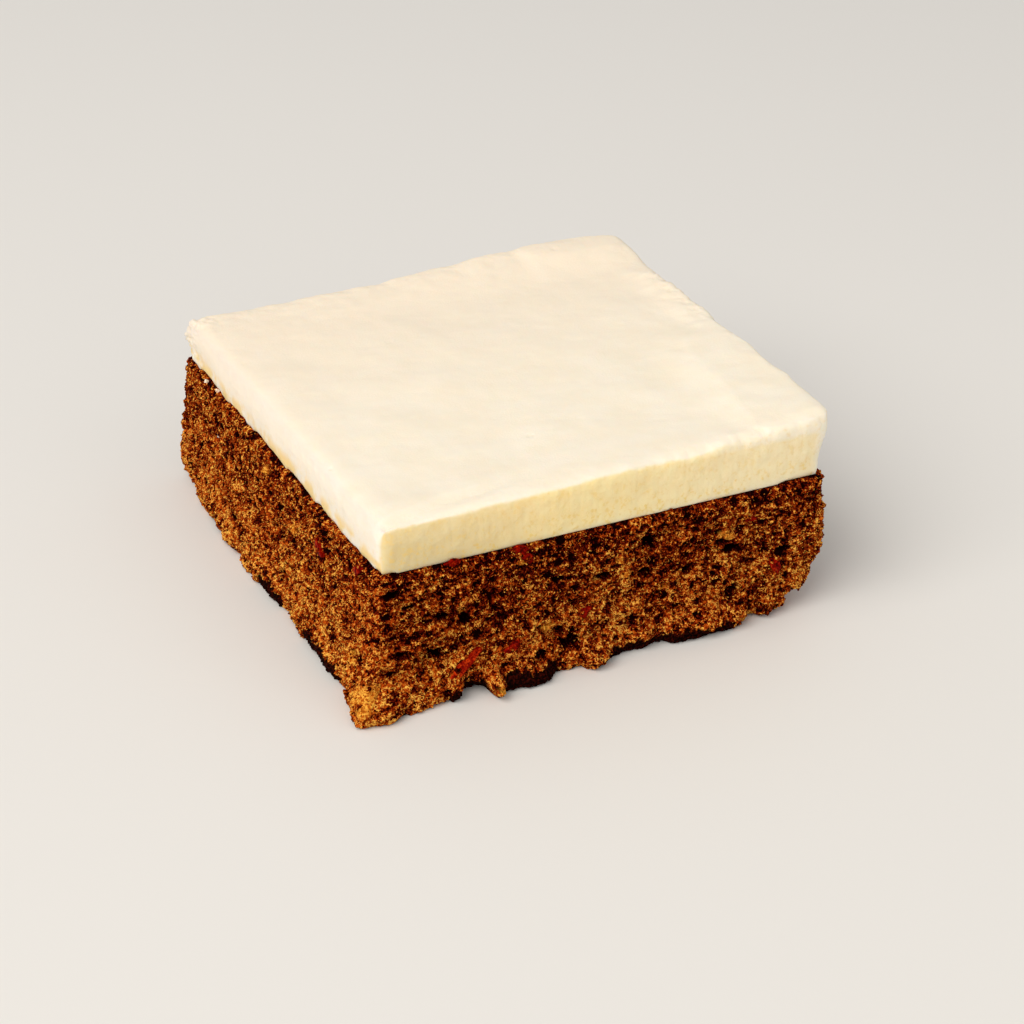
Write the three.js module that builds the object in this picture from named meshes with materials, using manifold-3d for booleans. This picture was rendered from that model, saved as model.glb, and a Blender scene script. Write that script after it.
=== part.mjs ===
// A square-cut piece of carrot sheet cake: a coarse brown sponge with carrot shreds in it,
// under one thick, spread layer of cream-cheese frosting that was cut with the sponge.
// Millimetres, +Z up, origin on the table under the middle of the sponge.
// The front cut face looks along -Y and the left cut face along -X.

import * as THREE from 'three';
import * as BufferGeometryUtils from 'three/addons/utils/BufferGeometryUtils.js';
import Module from 'manifold-3d';

// ---------------------------------------------------------------- driving dimensions

// Plan of the cut, taken where the frosting meets the sponge, anticlockwise from the front left.
const CUT_CORNERS = {
  front: new THREE.Vector2(-41, -45),
  right: new THREE.Vector2(41, -45),
  back: new THREE.Vector2(44.5, 43),
  left: new THREE.Vector2(-44.5, 46),
};
const CUT_CORNER_RADIUS = 1.6;
// The frosting is cut on the same lines, but stops a little short at the right corner.
const FROSTING_CORNERS = { ...CUT_CORNERS, right: new THREE.Vector2(40.6, -44.8) };

const SPONGE_HEIGHT = 25.2;
const SPONGE_COLUMNS = 224;
const SPONGE_ROWS = 18;
const FROSTING_OVERHANG = 0.55; // the sponge shrinks back this far under the frosting

// How far each cut face stands out (or in, if negative) at the table.
const FOOT = { left: 3.6, front: 1.2, right: -2.6, back: 0.4 };
const RIGHT_UNDERCUT_HEIGHT = 12; // the right face is upright above this and rounds in below it

const SKIN_HEIGHT = 2.3; // dark baked skin under the sponge
const WORN_CORNER_LIFT = 2.9; // crumb missing under the left and right corners
const WORN_CORNER_REACH = 7;
const WORN_LIFT_TOP = 8; // the crumb above this is untouched
const BASE_FLAT_INSET = 7; // everything further in than this is flat on the table

// Frosting thickness at the four corners.
const FROSTING_THICKNESS = { front: 8.6, right: 10.7, back: 9.3, left: 7.8 };
const FROSTING_CELLS = 32; // cells along each side of the top
// Radius of the top edge on each side: crisp where the knife went last, soft elsewhere.
const FROSTING_EDGE = { front: 0.7, right: 1.1, back: 1.2, left: 2.0 };

const SHORTEST_EDGE = 0.01; // slivers left where a shred meets the crumb are merged below this
const SEED = 20;

// ---------------------------------------------------------------- random numbers and noise

function hash(x, y, z, salt = 0) {
  let value = Math.imul(x, 374761393) + Math.imul(y, 668265263) + Math.imul(z, 2147483647);
  value = (value + Math.imul(salt + SEED, 1274126177)) | 0;
  value = Math.imul(value ^ (value >>> 13), 1103515245);
  value = Math.imul(value ^ (value >>> 16), 2246822519);
  return ((value ^ (value >>> 15)) >>> 0) / 4294967296;
}

// Smooth noise from -1 to 1, with features of about the given size.
function noise(x, y, z, size, salt = 0) {
  const cell = [x, y, z].map((value) => Math.floor(value / size));
  const within = [x, y, z].map((value, axis) => value / size - cell[axis]);
  const ease = within.map((t) => t * t * (3 - 2 * t));
  let sum = 0;
  for (let corner = 0; corner < 8; corner += 1) {
    const step = [corner & 1, (corner >> 1) & 1, corner >> 2];
    const weight = step.reduce((product, bit, axis) => product * (bit ? ease[axis] : 1 - ease[axis]), 1);
    sum += weight * hash(cell[0] + step[0], cell[1] + step[1], cell[2] + step[2], salt);
  }
  return 2 * sum - 1;
}

// Eased step: 0 at from, 1 at to, whichever of the two is larger.
function smooth(from, to, value) {
  const t = THREE.MathUtils.clamp((value - from) / (to - from), 0, 1);
  return t * t * (3 - 2 * t);
}

const mix = THREE.MathUtils.lerp;
const between = (low, high, draw) => low + (high - low) * draw;

// ---------------------------------------------------------------- plan of the cut

// Rounded outline through four corners, as evenly spaced points with outward normals.
function outline(corners, radius, count) {
  const ring = [corners.front, corners.right, corners.back, corners.left];
  const path = new THREE.Path();
  ring.forEach((corner, index) => {
    const towards = (other) => corner.clone().add(other.clone().sub(corner).setLength(radius));
    const entry = towards(ring[(index + 3) % 4]);
    const exit = towards(ring[(index + 1) % 4]);
    if (index === 0) path.moveTo(entry.x, entry.y);
    else path.lineTo(entry.x, entry.y);
    path.quadraticCurveTo(corner.x, corner.y, exit.x, exit.y);
  });
  path.closePath();
  const points = path.getSpacedPoints(count).slice(0, count);
  return points.map((point, index) => {
    const before = points[(index + count - 1) % count];
    const after = points[(index + 1) % count];
    const tangent = after.clone().sub(before).normalize();
    return { x: point.x, y: point.y, normal: new THREE.Vector2(tangent.y, -tangent.x) };
  });
}

// A point on a cut face, from the distance along it and the height above the table.
// Front and back are measured from the left, left and right from the front.
function onFace(face, along, height) {
  const { front, right, back, left } = CUT_CORNERS;
  const edges = { front: [front, right], right: [right, back], back: [left, back], left: [front, left] };
  const [start, end] = edges[face];
  const plan = start.clone().add(end.clone().sub(start).setLength(along));
  const placed = lean(plan.x, plan.y, height);
  return new THREE.Vector3(placed.x, placed.y, height);
}

// Moves a plan point to where the leaning, undercut body has it at this height.
function lean(x, y, height) {
  const drop = 1 - height / SPONGE_HEIGHT;
  const undercut = smooth(RIGHT_UNDERCUT_HEIGHT, 0, height);
  const across = (x - CUT_CORNERS.left.x) / (CUT_CORNERS.back.x - CUT_CORNERS.left.x);
  const deep = (y - CUT_CORNERS.front.y) / (CUT_CORNERS.left.y - CUT_CORNERS.front.y);
  return {
    x: x + mix(-FOOT.left * drop, FOOT.right * undercut, across),
    y: y + mix(-FOOT.front * drop, FOOT.back * drop, deep),
  };
}

// ---------------------------------------------------------------- sponge

// Crumb lumps along the foot of the cut faces: face, distance along, height, size, how far out.
const FOOT_LUMPS = [
  ['front', -0.5, 2.2, 3.2, 1.9],
  ['front', 4.5, 2.0, 2.6, 1.5],
  ['front', 11.0, 2.6, 2.4, 1.3],
  ['front', 20.8, 2.2, 1.7, 3.0],
  ['front', 28.0, 2.2, 3.0, 1.2],
  ['front', 38.6, 2.3, 2.2, 2.9],
  ['front', 54.6, 2.0, 2.6, 1.6],
  ['front', 60.0, 2.4, 3.0, 1.7],
  ['front', 72.8, 2.6, 2.4, 1.9],
  ['left', 5.0, 3.0, 3.0, 1.0],
  ['left', 33.0, 3.2, 3.2, 1.1],
  ['left', 58.0, 2.6, 4.0, 1.2],
  ['left', 74.0, 3.0, 3.0, 1.0],
];

// Stretches of the foot where the crumb has come away and the skin shows: face, from, to and
// how far the skin is set in there (out, if negative, where a flap of it stands proud).
const SKIN_GAPS = [
  ['front', 14.0, 18.5, 1.5],
  ['front', 24.0, 30.5, -1.4],
  ['front', 42.0, 52.0, 0.9],
  ['front', 62.0, 70.0, 1.2],
  ['left', 12.0, 25.0, 1.0],
  ['left', 38.0, 50.0, 0.7],
  ['left', 66.0, 71.0, 1.2],
  ['right', 12.0, 26.0, 1.6],
  ['right', 44.0, 58.0, 1.0],
  ['right', 70.0, 76.0, 1.4],
  ['back', 8.0, 22.0, 1.3],
  ['back', 36.0, 44.0, 1.6],
  ['back', 60.0, 75.0, 1.0],
];

// The largest holes of the open crumb: face, distance along, height, width, height, depth.
const LARGE_HOLES = [
  ['front', 9.2, 8.3, 2.0, 1.3, 2.2],
  ['front', 9.8, 15.7, 2.1, 1.0, 1.5],
  ['front', 4.1, 18.7, 1.9, 1.1, 1.5],
  ['front', 47.7, 21.0, 2.6, 1.1, 1.4],
  ['front', 48.0, 14.4, 1.9, 1.1, 1.7],
  ['front', 39.8, 16.5, 2.1, 1.0, 1.4],
  ['front', 56.1, 12.3, 2.0, 1.2, 1.6],
  ['front', 65.3, 6.3, 3.0, 1.3, 1.8],
  ['front', 32.5, 7.2, 2.2, 1.3, 1.6],
  ['left', 59.2, 21.0, 3.0, 1.2, 1.6],
  ['left', 36.3, 13.8, 2.6, 1.5, 1.7],
  ['left', 50.2, 10.7, 2.4, 1.3, 1.4],
  ['left', 12.0, 9.0, 2.2, 1.2, 1.4],
];
const SCATTERED_HOLES = 90;

function scatteredHoles() {
  const faces = ['front', 'right', 'back', 'left'];
  return Array.from({ length: SCATTERED_HOLES }, (_, index) => {
    const draw = (salt) => hash(index, salt, 7, 101);
    return [
      faces[index % 4],
      between(3, 80, draw(1)),
      between(4, SPONGE_HEIGHT - 2.5, draw(2)),
      between(1.4, 2.4, draw(3)),
      between(0.8, 1.3, draw(4)),
      between(0.7, 1.5, draw(5)),
    ];
  });
}

function makeReliefFeatures() {
  const lumps = FOOT_LUMPS.map(([face, along, height, size, out]) => ({
    centre: onFace(face, along, height),
    width: size,
    height: size * 0.8,
    out,
  }));
  const holes = [...LARGE_HOLES, ...scatteredHoles()].map(([face, along, height, width, tall, depth]) => ({
    centre: onFace(face, along, height),
    width,
    height: tall,
    out: -depth,
  }));
  return [...lumps, ...holes];
}

// Height of relief over the leaning cut face, outwards, at a point of that face.
function crumbRelief(point, features) {
  const { x, y, z } = point;
  let relief = 0.45 * noise(x, y, z, 12, 1) + 0.4 * noise(x, y, z, 4.6, 2);
  relief += 0.42 * noise(x, y, z * 1.3, 2.3, 3);
  for (const feature of features) {
    const flat = Math.hypot(x - feature.centre.x, y - feature.centre.y) / feature.width;
    const up = (z - feature.centre.z) / feature.height;
    const distance = flat * flat + up * up;
    if (distance < 6) relief += feature.out * Math.exp(-distance);
  }
  return relief;
}

function nearestCorner(x, y) {
  return Math.min(...Object.values(CUT_CORNERS).map((corner) => Math.hypot(x - corner.x, y - corner.y)));
}

// How far the skin is set in at the foot, fading to 0 at the ends of each gap.
function skinRecess(x, y) {
  const fade = 2.2;
  return SKIN_GAPS.reduce((recess, [face, from, to, depth]) => {
    const span = new THREE.Line3(onFace(face, from, 0), onFace(face, to, 0));
    const nearest = span.closestPointToPoint(new THREE.Vector3(x, y, 0), true, new THREE.Vector3());
    return recess + depth * smooth(fade, 0, Math.hypot(x - nearest.x, y - nearest.y));
  }, 0);
}

function wornLift(x, y) {
  const { left, right } = CUT_CORNERS;
  const lift = (corner) => Math.exp(-((Math.hypot(x - corner.x, y - corner.y) / WORN_CORNER_REACH) ** 2));
  return WORN_CORNER_LIFT * Math.max(lift(left), 0.7 * lift(right));
}

// Pulls a plan point straight in from the cut faces, corners included.
function pulledIn(x, y, distance) {
  return { x: x * (1 - distance / 43), y: y * (1 - distance / 44.5) };
}

// Where the crumb surface is, for a column of the outline and a height up the cut face.
function spongeWallPoint(column, level, features) {
  const face = lean(column.x, column.y, level);
  const skin = skinRecess(face.x, face.y);
  const skinTop = SKIN_HEIGHT + 0.9 + 0.5 * noise(face.x, face.y, 0, 3.1, 4);
  const foot = pulledIn(face.x, face.y, skin * smooth(skinTop, SKIN_HEIGHT * 0.45, level));
  const deepest = mix(-0.6, -3, smooth(1, 5, nearestCorner(column.x, column.y)));
  const crumb = Math.max(crumbRelief(new THREE.Vector3(face.x, face.y, level), features), deepest);
  const calm = 1 - 0.7 * smooth(1.8, 0, level) * Math.min(1, Math.abs(skin));
  const overhang = FROSTING_OVERHANG * smooth(0.3, 0.9, -column.normal.y);
  const rim = smooth(SPONGE_HEIGHT - 1.6, SPONGE_HEIGHT, level);
  const out = mix(crumb * calm, 0.25 * crumb - overhang, rim);
  const lift = wornLift(column.x, column.y) * smooth(WORN_LIFT_TOP, 0, level) * (1 - level / WORN_LIFT_TOP);
  return [foot.x + column.normal.x * out, foot.y + column.normal.y * out, level + lift];
}

function makeSpongeGeometry(features) {
  const columns = outline(CUT_CORNERS, CUT_CORNER_RADIUS, SPONGE_COLUMNS);
  const vertices = [];
  for (let row = 0; row <= SPONGE_ROWS; row += 1) {
    const level = SPONGE_HEIGHT * (row / SPONGE_ROWS) ** 1.12;
    columns.forEach((column) => vertices.push(...spongeWallPoint(column, level, features)));
  }
  const base = lean(0, 0, 0);
  for (const column of columns) {
    const face = lean(column.x, column.y, 0);
    const inner = pulledIn(face.x, face.y, BASE_FLAT_INSET);
    vertices.push(inner.x, inner.y, 0);
  }
  vertices.push(base.x, base.y, 0, 0, 0, SPONGE_HEIGHT);

  const topRow = SPONGE_ROWS * SPONGE_COLUMNS;
  const innerRing = topRow + SPONGE_COLUMNS;
  const baseCentre = innerRing + SPONGE_COLUMNS;
  const topCentre = baseCentre + 1;
  const triangles = [];
  for (let column = 0; column < SPONGE_COLUMNS; column += 1) {
    const next = (column + 1) % SPONGE_COLUMNS;
    for (let row = 0; row < SPONGE_ROWS; row += 1) {
      const low = row * SPONGE_COLUMNS;
      const high = low + SPONGE_COLUMNS;
      addQuad(triangles, low + column, low + next, high + next, high + column, column + row);
    }
    addQuad(triangles, innerRing + column, innerRing + next, next, column, column);
    triangles.push(baseCentre, innerRing + next, innerRing + column);
    triangles.push(topCentre, topRow + column, topRow + next);
  }
  return indexedGeometry(vertices, triangles);
}

// Two triangles for the quad a-b-c-d, split one way or the other so that no diagonal dominates.
function addQuad(triangles, a, b, c, d, turn) {
  if (turn % 2) triangles.push(a, b, c, a, c, d);
  else triangles.push(a, b, d, b, c, d);
}

function indexedGeometry(vertices, triangles) {
  const geometry = new THREE.BufferGeometry();
  geometry.setAttribute('position', new THREE.Float32BufferAttribute(vertices, 3));
  geometry.setIndex(triangles);
  return geometry;
}

// ---------------------------------------------------------------- carrot shreds

// Shreds that show in the cut faces: face, distance along, height, length, slope in degrees.
const PLACED_SHREDS = [
  ['front', 14.2, 5.2, 7.4, 34],
  ['front', 22.7, 6.3, 3.6, 12],
  ['front', 25.2, 22.9, 3.8, -50],
  ['front', 12.6, 23.4, 3.4, -8],
  ['front', 35.8, 9.4, 3.0, 40],
  ['front', 72.4, 10.2, 3.2, -60],
  ['front', 67.8, 20.2, 3.0, 5],
  ['left', 22.9, 19.9, 3.6, -55],
  ['left', 7.5, 22.6, 3.2, 50],
  ['left', 80.4, 14.7, 3.0, 20],
];
const SCATTERED_SHREDS = 10;
const SHRED_WIDTH = 1.3;
const SHRED_THICKNESS = 1.1;
const SHRED_SHOWS = 0.45; // how far a shred stands out of the crumb

function scatteredShreds() {
  return Array.from({ length: SCATTERED_SHREDS }, (_, index) => {
    const draw = (salt) => hash(index, salt, 3, 202);
    const face = index % 2 ? 'right' : 'back';
    const slope = between(-60, 60, draw(4));
    return [face, between(6, 80, draw(1)), between(5, 21, draw(2)), between(3, 6.5, draw(3)), slope];
  });
}

// A thin strip, tapered at both ends and slightly bowed, along +X with its broad side up.
function makeShredGeometry(length) {
  const stations = 5;
  const vertices = [];
  for (let station = 0; station < stations; station += 1) {
    const t = (2 * station) / (stations - 1) - 1;
    const half = 0.5 * SHRED_WIDTH * (1 - 0.6 * t * t);
    const bow = 0.35 * (1 - t * t);
    for (const [across, up] of [[-1, -0.5], [1, -0.5], [0.8, 0.5], [-0.8, 0.5]]) {
      vertices.push(0.5 * length * t, across * half + bow, up * SHRED_THICKNESS);
    }
  }
  const triangles = [];
  for (let station = 0; station < stations - 1; station += 1) {
    for (let side = 0; side < 4; side += 1) {
      const a = station * 4 + side;
      const b = station * 4 + ((side + 1) % 4);
      triangles.push(a, b, b + 4, a, b + 4, a + 4);
    }
  }
  const last = (stations - 1) * 4;
  triangles.push(0, 2, 1, 0, 3, 2, last, last + 1, last + 2, last, last + 2, last + 3);
  return indexedGeometry(vertices, triangles);
}

// The shred laid in its cut face: its broad side looks outwards, its length runs up the slope.
function placedShredGeometry([face, along, height, length, slope], features) {
  const outward = { front: [0, -1], right: [1, 0], back: [0, 1], left: [-1, 0] }[face];
  const normal = new THREE.Vector3(outward[0], outward[1], 0);
  const level = new THREE.Vector3(-normal.y, normal.x, 0);
  const up = new THREE.Vector3(0, 0, 1);
  const angle = THREE.MathUtils.degToRad(slope);
  const direction = level.clone().multiplyScalar(Math.cos(angle)).addScaledVector(up, Math.sin(angle));
  const side = normal.clone().cross(direction);
  const surface = onFace(face, along, height);
  const depth = crumbRelief(surface, features) + SHRED_SHOWS - SHRED_THICKNESS / 2;
  const centre = surface.clone().addScaledVector(normal, depth);
  const place = new THREE.Matrix4().makeBasis(direction, side, normal).setPosition(centre);
  return makeShredGeometry(length).applyMatrix4(place);
}

// ---------------------------------------------------------------- joining with manifold-3d

const wasm = await Module();
wasm.setup();

function toManifold(geometry) {
  const merged = BufferGeometryUtils.mergeVertices(geometry, 1e-5);
  return new wasm.Manifold(new wasm.Mesh({
    numProp: 3,
    vertProperties: new Float32Array(merged.getAttribute('position').array),
    triVerts: new Uint32Array(merged.getIndex().array),
  }));
}

function fromManifold(solid) {
  const mesh = solid.getMesh();
  return indexedGeometry(Array.from(mesh.vertProperties), Array.from(mesh.triVerts));
}

function makeCakeGeometry() {
  const features = makeReliefFeatures();
  let solid = toManifold(makeSpongeGeometry(features));
  for (const shred of [...PLACED_SHREDS, ...scatteredShreds()]) {
    solid = solid.add(toManifold(placedShredGeometry(shred, features)));
  }
  // A pocket sealed behind a shred comes apart as a body of its own and is left out, so it is filled.
  const bodies = solid.decompose();
  const whole = bodies.reduce((largest, body) => (body.volume() > largest.volume() ? body : largest));
  return fromManifold(whole.simplify(SHORTEST_EDGE));
}

// ---------------------------------------------------------------- frosting

// Blends a value given at the four corners over the plan; across and deep run from 0 to 1.
function overPlan(values, across, deep) {
  return mix(mix(values.front, values.right, across), mix(values.left, values.back, across), deep);
}

// A rounded hill or hollow of the spread top: centre, reach along X and Y, height.
const TOP_SWELLS = [
  [38.5, 39.5, 9, 6, 1.4],
  [32.5, 43.0, 5, 4, 0.7],
  [24.5, 41.0, 6, 7, -0.45],
  [30.0, 29.0, 9, 4, -0.3],
  [-34.0, -39.0, 9, 3.2, 0.35],
  [23.0, -43.5, 3.4, 2.6, 0.7],
  [31.5, -43.5, 3.0, 2.6, 0.5],
  [-20.0, 10.0, 22, 16, 0.25],
];

function frostingTop(x, y, across, deep) {
  let height = SPONGE_HEIGHT + overPlan(FROSTING_THICKNESS, across, deep);
  for (const [centreX, centreY, reachX, reachY, rise] of TOP_SWELLS) {
    height += rise * Math.exp(-(((x - centreX) / reachX) ** 2) - ((y - centreY) / reachY) ** 2);
  }
  height += 0.22 * noise(x, y, 0, 13, 11) + 0.12 * noise(x * 0.45, y, 0, 4.5, 12);
  return height;
}

// How far the frosting's side stands out from the cut, at a height fraction of that side.
function frostingSide(x, y, rise) {
  const level = SPONGE_HEIGHT + 8 * rise;
  const uneven = 0.3 * noise(x, y, level, 9, 13) + 0.16 * noise(x, y, level * 0.4, 3, 14);
  const farLeft = Math.exp(-(((x - CUT_CORNERS.left.x) ** 2 + (y - CUT_CORNERS.left.y) ** 2) / 90));
  const torn = farLeft * (0.6 * Math.cos(2.4 * Math.PI * rise + 0.4) + 0.2);
  const ripple = 0.4 * Math.sin(y / 4.1) + 0.3 * Math.sin(y / 2.3 + 1);
  const rightWaves = smooth(20, 40, x) * (0.5 + (0.7 + ripple) * smooth(-46, -28, y));
  const backWaves = smooth(-8, 12, x) * smooth(30, 42, y) * (0.9 + 0.35 * Math.sin(x / 2.6));
  return uneven + torn + rise * Math.max(rightWaves, backWaves);
}

// Grid lines lie closer together near the edges of the top.
function gridFraction(index) {
  const even = index / FROSTING_CELLS;
  return mix(even, 0.5 - 0.5 * Math.cos(Math.PI * even), 0.45);
}

// Plan point of the frosting, with the corners of the outline slightly rounded.
function frostingPlan(across, deep) {
  const { front, right, back, left } = FROSTING_CORNERS;
  const near = front.clone().lerp(right, across);
  const far = left.clone().lerp(back, across);
  const point = near.lerp(far, deep);
  const corner = ((2 * across - 1) * (2 * deep - 1)) ** 2;
  return point.multiplyScalar(1 - 0.014 * corner ** 8);
}

// Insets of the side, from the sponge up to the start of the top: rise along the side and
// the share of the edge radius that it is set in and set down by.
const SIDE_PROFILE = [
  { rise: 0, inset: 0, drop: 0 },
  { rise: 0.3, inset: -0.08, drop: 0 },
  { rise: 0.62, inset: -0.1, drop: 0 },
  { rise: 1, inset: 0, drop: 1 },
  { rise: 1, inset: 0.29, drop: 0.29 },
];

function edgeRadius(across, deep) {
  const near = { left: across, right: 1 - across, front: deep, back: 1 - deep };
  let total = 0;
  let weights = 0;
  for (const [side, distance] of Object.entries(near)) {
    const weight = 1 / (distance + 0.02) ** 2;
    total += weight * FROSTING_EDGE[side];
    weights += weight;
  }
  return total / weights;
}

// Grid indices round the border of the top, anticlockwise from the front left.
function borderCells() {
  const cells = [];
  for (let index = 0; index < FROSTING_CELLS; index += 1) {
    cells.push([index, 0]);
  }
  for (let index = 0; index < FROSTING_CELLS; index += 1) {
    cells.push([FROSTING_CELLS, index]);
  }
  for (let index = FROSTING_CELLS; index > 0; index -= 1) {
    cells.push([index, FROSTING_CELLS]);
  }
  for (let index = FROSTING_CELLS; index > 0; index -= 1) {
    cells.push([0, index]);
  }
  return cells;
}

function makeFrostingGeometry() {
  const vertices = [];
  const gridIndex = (column, row) => row * (FROSTING_CELLS + 1) + column;
  for (let row = 0; row <= FROSTING_CELLS; row += 1) {
    for (let column = 0; column <= FROSTING_CELLS; column += 1) {
      const across = gridFraction(column);
      const deep = gridFraction(row);
      const plan = frostingPlan(across, deep);
      const nearEdge = Math.max(Math.abs(2 * across - 1), Math.abs(2 * deep - 1));
      const blend = smooth(0.8, 1, nearEdge);
      const out = blend * frostingSide(plan.x, plan.y, 1);
      const point = pulledIn(plan.x, plan.y, edgeRadius(across, deep) * blend - out);
      vertices.push(point.x, point.y, frostingTop(plan.x, plan.y, across, deep));
    }
  }
  const cells = borderCells();
  const sideStart = vertices.length / 3;
  for (const { rise, inset, drop } of SIDE_PROFILE) {
    for (const [column, row] of cells) {
      const across = gridFraction(column);
      const deep = gridFraction(row);
      const plan = frostingPlan(across, deep);
      const radius = edgeRadius(across, deep);
      const out = rise > 0 ? frostingSide(plan.x, plan.y, rise) : 0.2 * frostingSide(plan.x, plan.y, 0);
      const point = pulledIn(plan.x, plan.y, radius * inset - out);
      const top = frostingTop(plan.x, plan.y, across, deep);
      vertices.push(point.x, point.y, mix(SPONGE_HEIGHT, top - radius * drop, rise));
    }
  }
  const underside = vertices.length / 3;
  vertices.push(0, 0, SPONGE_HEIGHT);

  const triangles = [];
  for (let row = 0; row < FROSTING_CELLS; row += 1) {
    for (let column = 0; column < FROSTING_CELLS; column += 1) {
      const corners = [gridIndex(column, row), gridIndex(column + 1, row)];
      corners.push(gridIndex(column + 1, row + 1), gridIndex(column, row + 1));
      addQuad(triangles, ...corners, row + column);
    }
  }
  const count = cells.length;
  const side = (level, place) => sideStart + level * count + (place % count);
  for (let place = 0; place < count; place += 1) {
    for (let level = 0; level < SIDE_PROFILE.length - 1; level += 1) {
      const low = [side(level, place), side(level, place + 1)];
      const high = [side(level + 1, place + 1), side(level + 1, place)];
      addQuad(triangles, ...low, ...high, place + level);
    }
    const last = SIDE_PROFILE.length - 1;
    const here = gridIndex(...cells[place]);
    const next = gridIndex(...cells[(place + 1) % count]);
    addQuad(triangles, side(last, place), side(last, place + 1), next, here, place);
    triangles.push(underside, side(0, place + 1), side(0, place));
  }
  return indexedGeometry(vertices, triangles);
}

// ---------------------------------------------------------------- assembly

function makePiece(name, geometry, color, roughness) {
  const material = new THREE.MeshStandardMaterial({ color, roughness, metalness: 0 });
  const mesh = new THREE.Mesh(geometry, material);
  mesh.name = name;
  return mesh;
}

const carrotCake = new THREE.Group();
carrotCake.add(makePiece('cake', makeCakeGeometry(), '#74380f', 0.95));
carrotCake.add(makePiece('frosting', makeFrostingGeometry(), '#f8e8cc', 0.6));

export default carrotCake;
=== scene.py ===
"""Carrot cake slice: a square-cut piece of carrot sheet cake with cream-cheese frosting.

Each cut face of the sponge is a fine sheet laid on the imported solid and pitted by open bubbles.
Loose crumb, carrot shreds, the baked skin underneath and the spread frosting complete it.
Run as a script, it builds every piece in order.
"""

import math

import bpy
import numpy as np
from bpy.props import FloatProperty, FloatVectorProperty, PointerProperty
from mathutils import Matrix, Vector


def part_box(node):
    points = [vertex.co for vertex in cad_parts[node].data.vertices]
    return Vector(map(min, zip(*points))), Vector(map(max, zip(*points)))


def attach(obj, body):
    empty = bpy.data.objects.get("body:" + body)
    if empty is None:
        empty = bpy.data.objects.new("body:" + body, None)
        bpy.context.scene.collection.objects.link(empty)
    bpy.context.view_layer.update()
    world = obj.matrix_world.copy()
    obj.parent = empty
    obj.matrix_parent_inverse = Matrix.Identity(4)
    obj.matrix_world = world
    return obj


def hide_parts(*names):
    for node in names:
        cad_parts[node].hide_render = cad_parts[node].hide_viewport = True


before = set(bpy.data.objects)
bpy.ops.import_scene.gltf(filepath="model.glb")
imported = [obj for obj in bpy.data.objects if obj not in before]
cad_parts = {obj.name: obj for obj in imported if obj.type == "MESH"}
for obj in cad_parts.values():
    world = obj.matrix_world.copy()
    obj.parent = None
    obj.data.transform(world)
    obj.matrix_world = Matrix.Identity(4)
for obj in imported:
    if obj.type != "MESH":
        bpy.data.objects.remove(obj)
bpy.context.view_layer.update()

bl_info = {
    "name": "Carrot cake slice",
    "version": (1, 0, 0),
    "blender": (4, 5, 0),
    "location": "View3D > Sidebar > Cake",
    "description": "Builds the crumb, shreds, frosting, table and lights of a carrot cake slice",
    "category": "Add Mesh",
}

MM = 0.001  # sizes below are in millimetres

# ------------------------------------------------------------------ sizes

# Plan of the cut where the frosting meets the sponge, anticlockwise.
CORNERS = {
    "front": Vector((-41.0, -45.0)),
    "right": Vector((41.0, -45.0)),
    "back": Vector((44.5, 43.0)),
    "left": Vector((-44.5, 46.0)),
}
CORNER_RADIUS = 4.0
SPONGE_HEIGHT = 25.2
SHEET_LOW = 0.12
SHEET_HIGH = 25.25
FOOT = {"left": 3.6, "front": 1.2, "right": -2.6, "back": 0.4}
UNDERCUT_HEIGHT = 12.0
TARGET_VOXEL = 0.5
RAY_START = 14.0
RAY_LENGTH = 40.0
CRUMB_RISE = 0.8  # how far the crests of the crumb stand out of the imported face
SKIN_RISE = 0.4
HOLE_DEPTH = 2.2
GOLDEN_RISE = 0.3
HIDDEN_DEPTH = 99.0  # depth at the cake's axis, which thins out the grains on the inner faces
MAP_SHARE = 0.93  # how much of a sheet's bake map its outer side takes

# Stretches where crumb has come away at the foot of each face: from, to and height.
SKIN_GAPS = {
    "front": ((10.4, 17.2, 2.5), (19.4, 30.2, 3.0), (39.2, 63.4, 2.0)),
    "left": ((10.6, 25.0, 2.8), (36.0, 45.5, 2.9), (66.0, 71.0, 1.2)),
    "right": ((12.0, 26.0, 1.8), (44.0, 58.0, 2.4), (70.0, 76.0, 1.6)),
    "back": ((8.0, 22.0, 1.8), (36.0, 44.0, 2.4), (60.0, 75.0, 1.6)),
}

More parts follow.
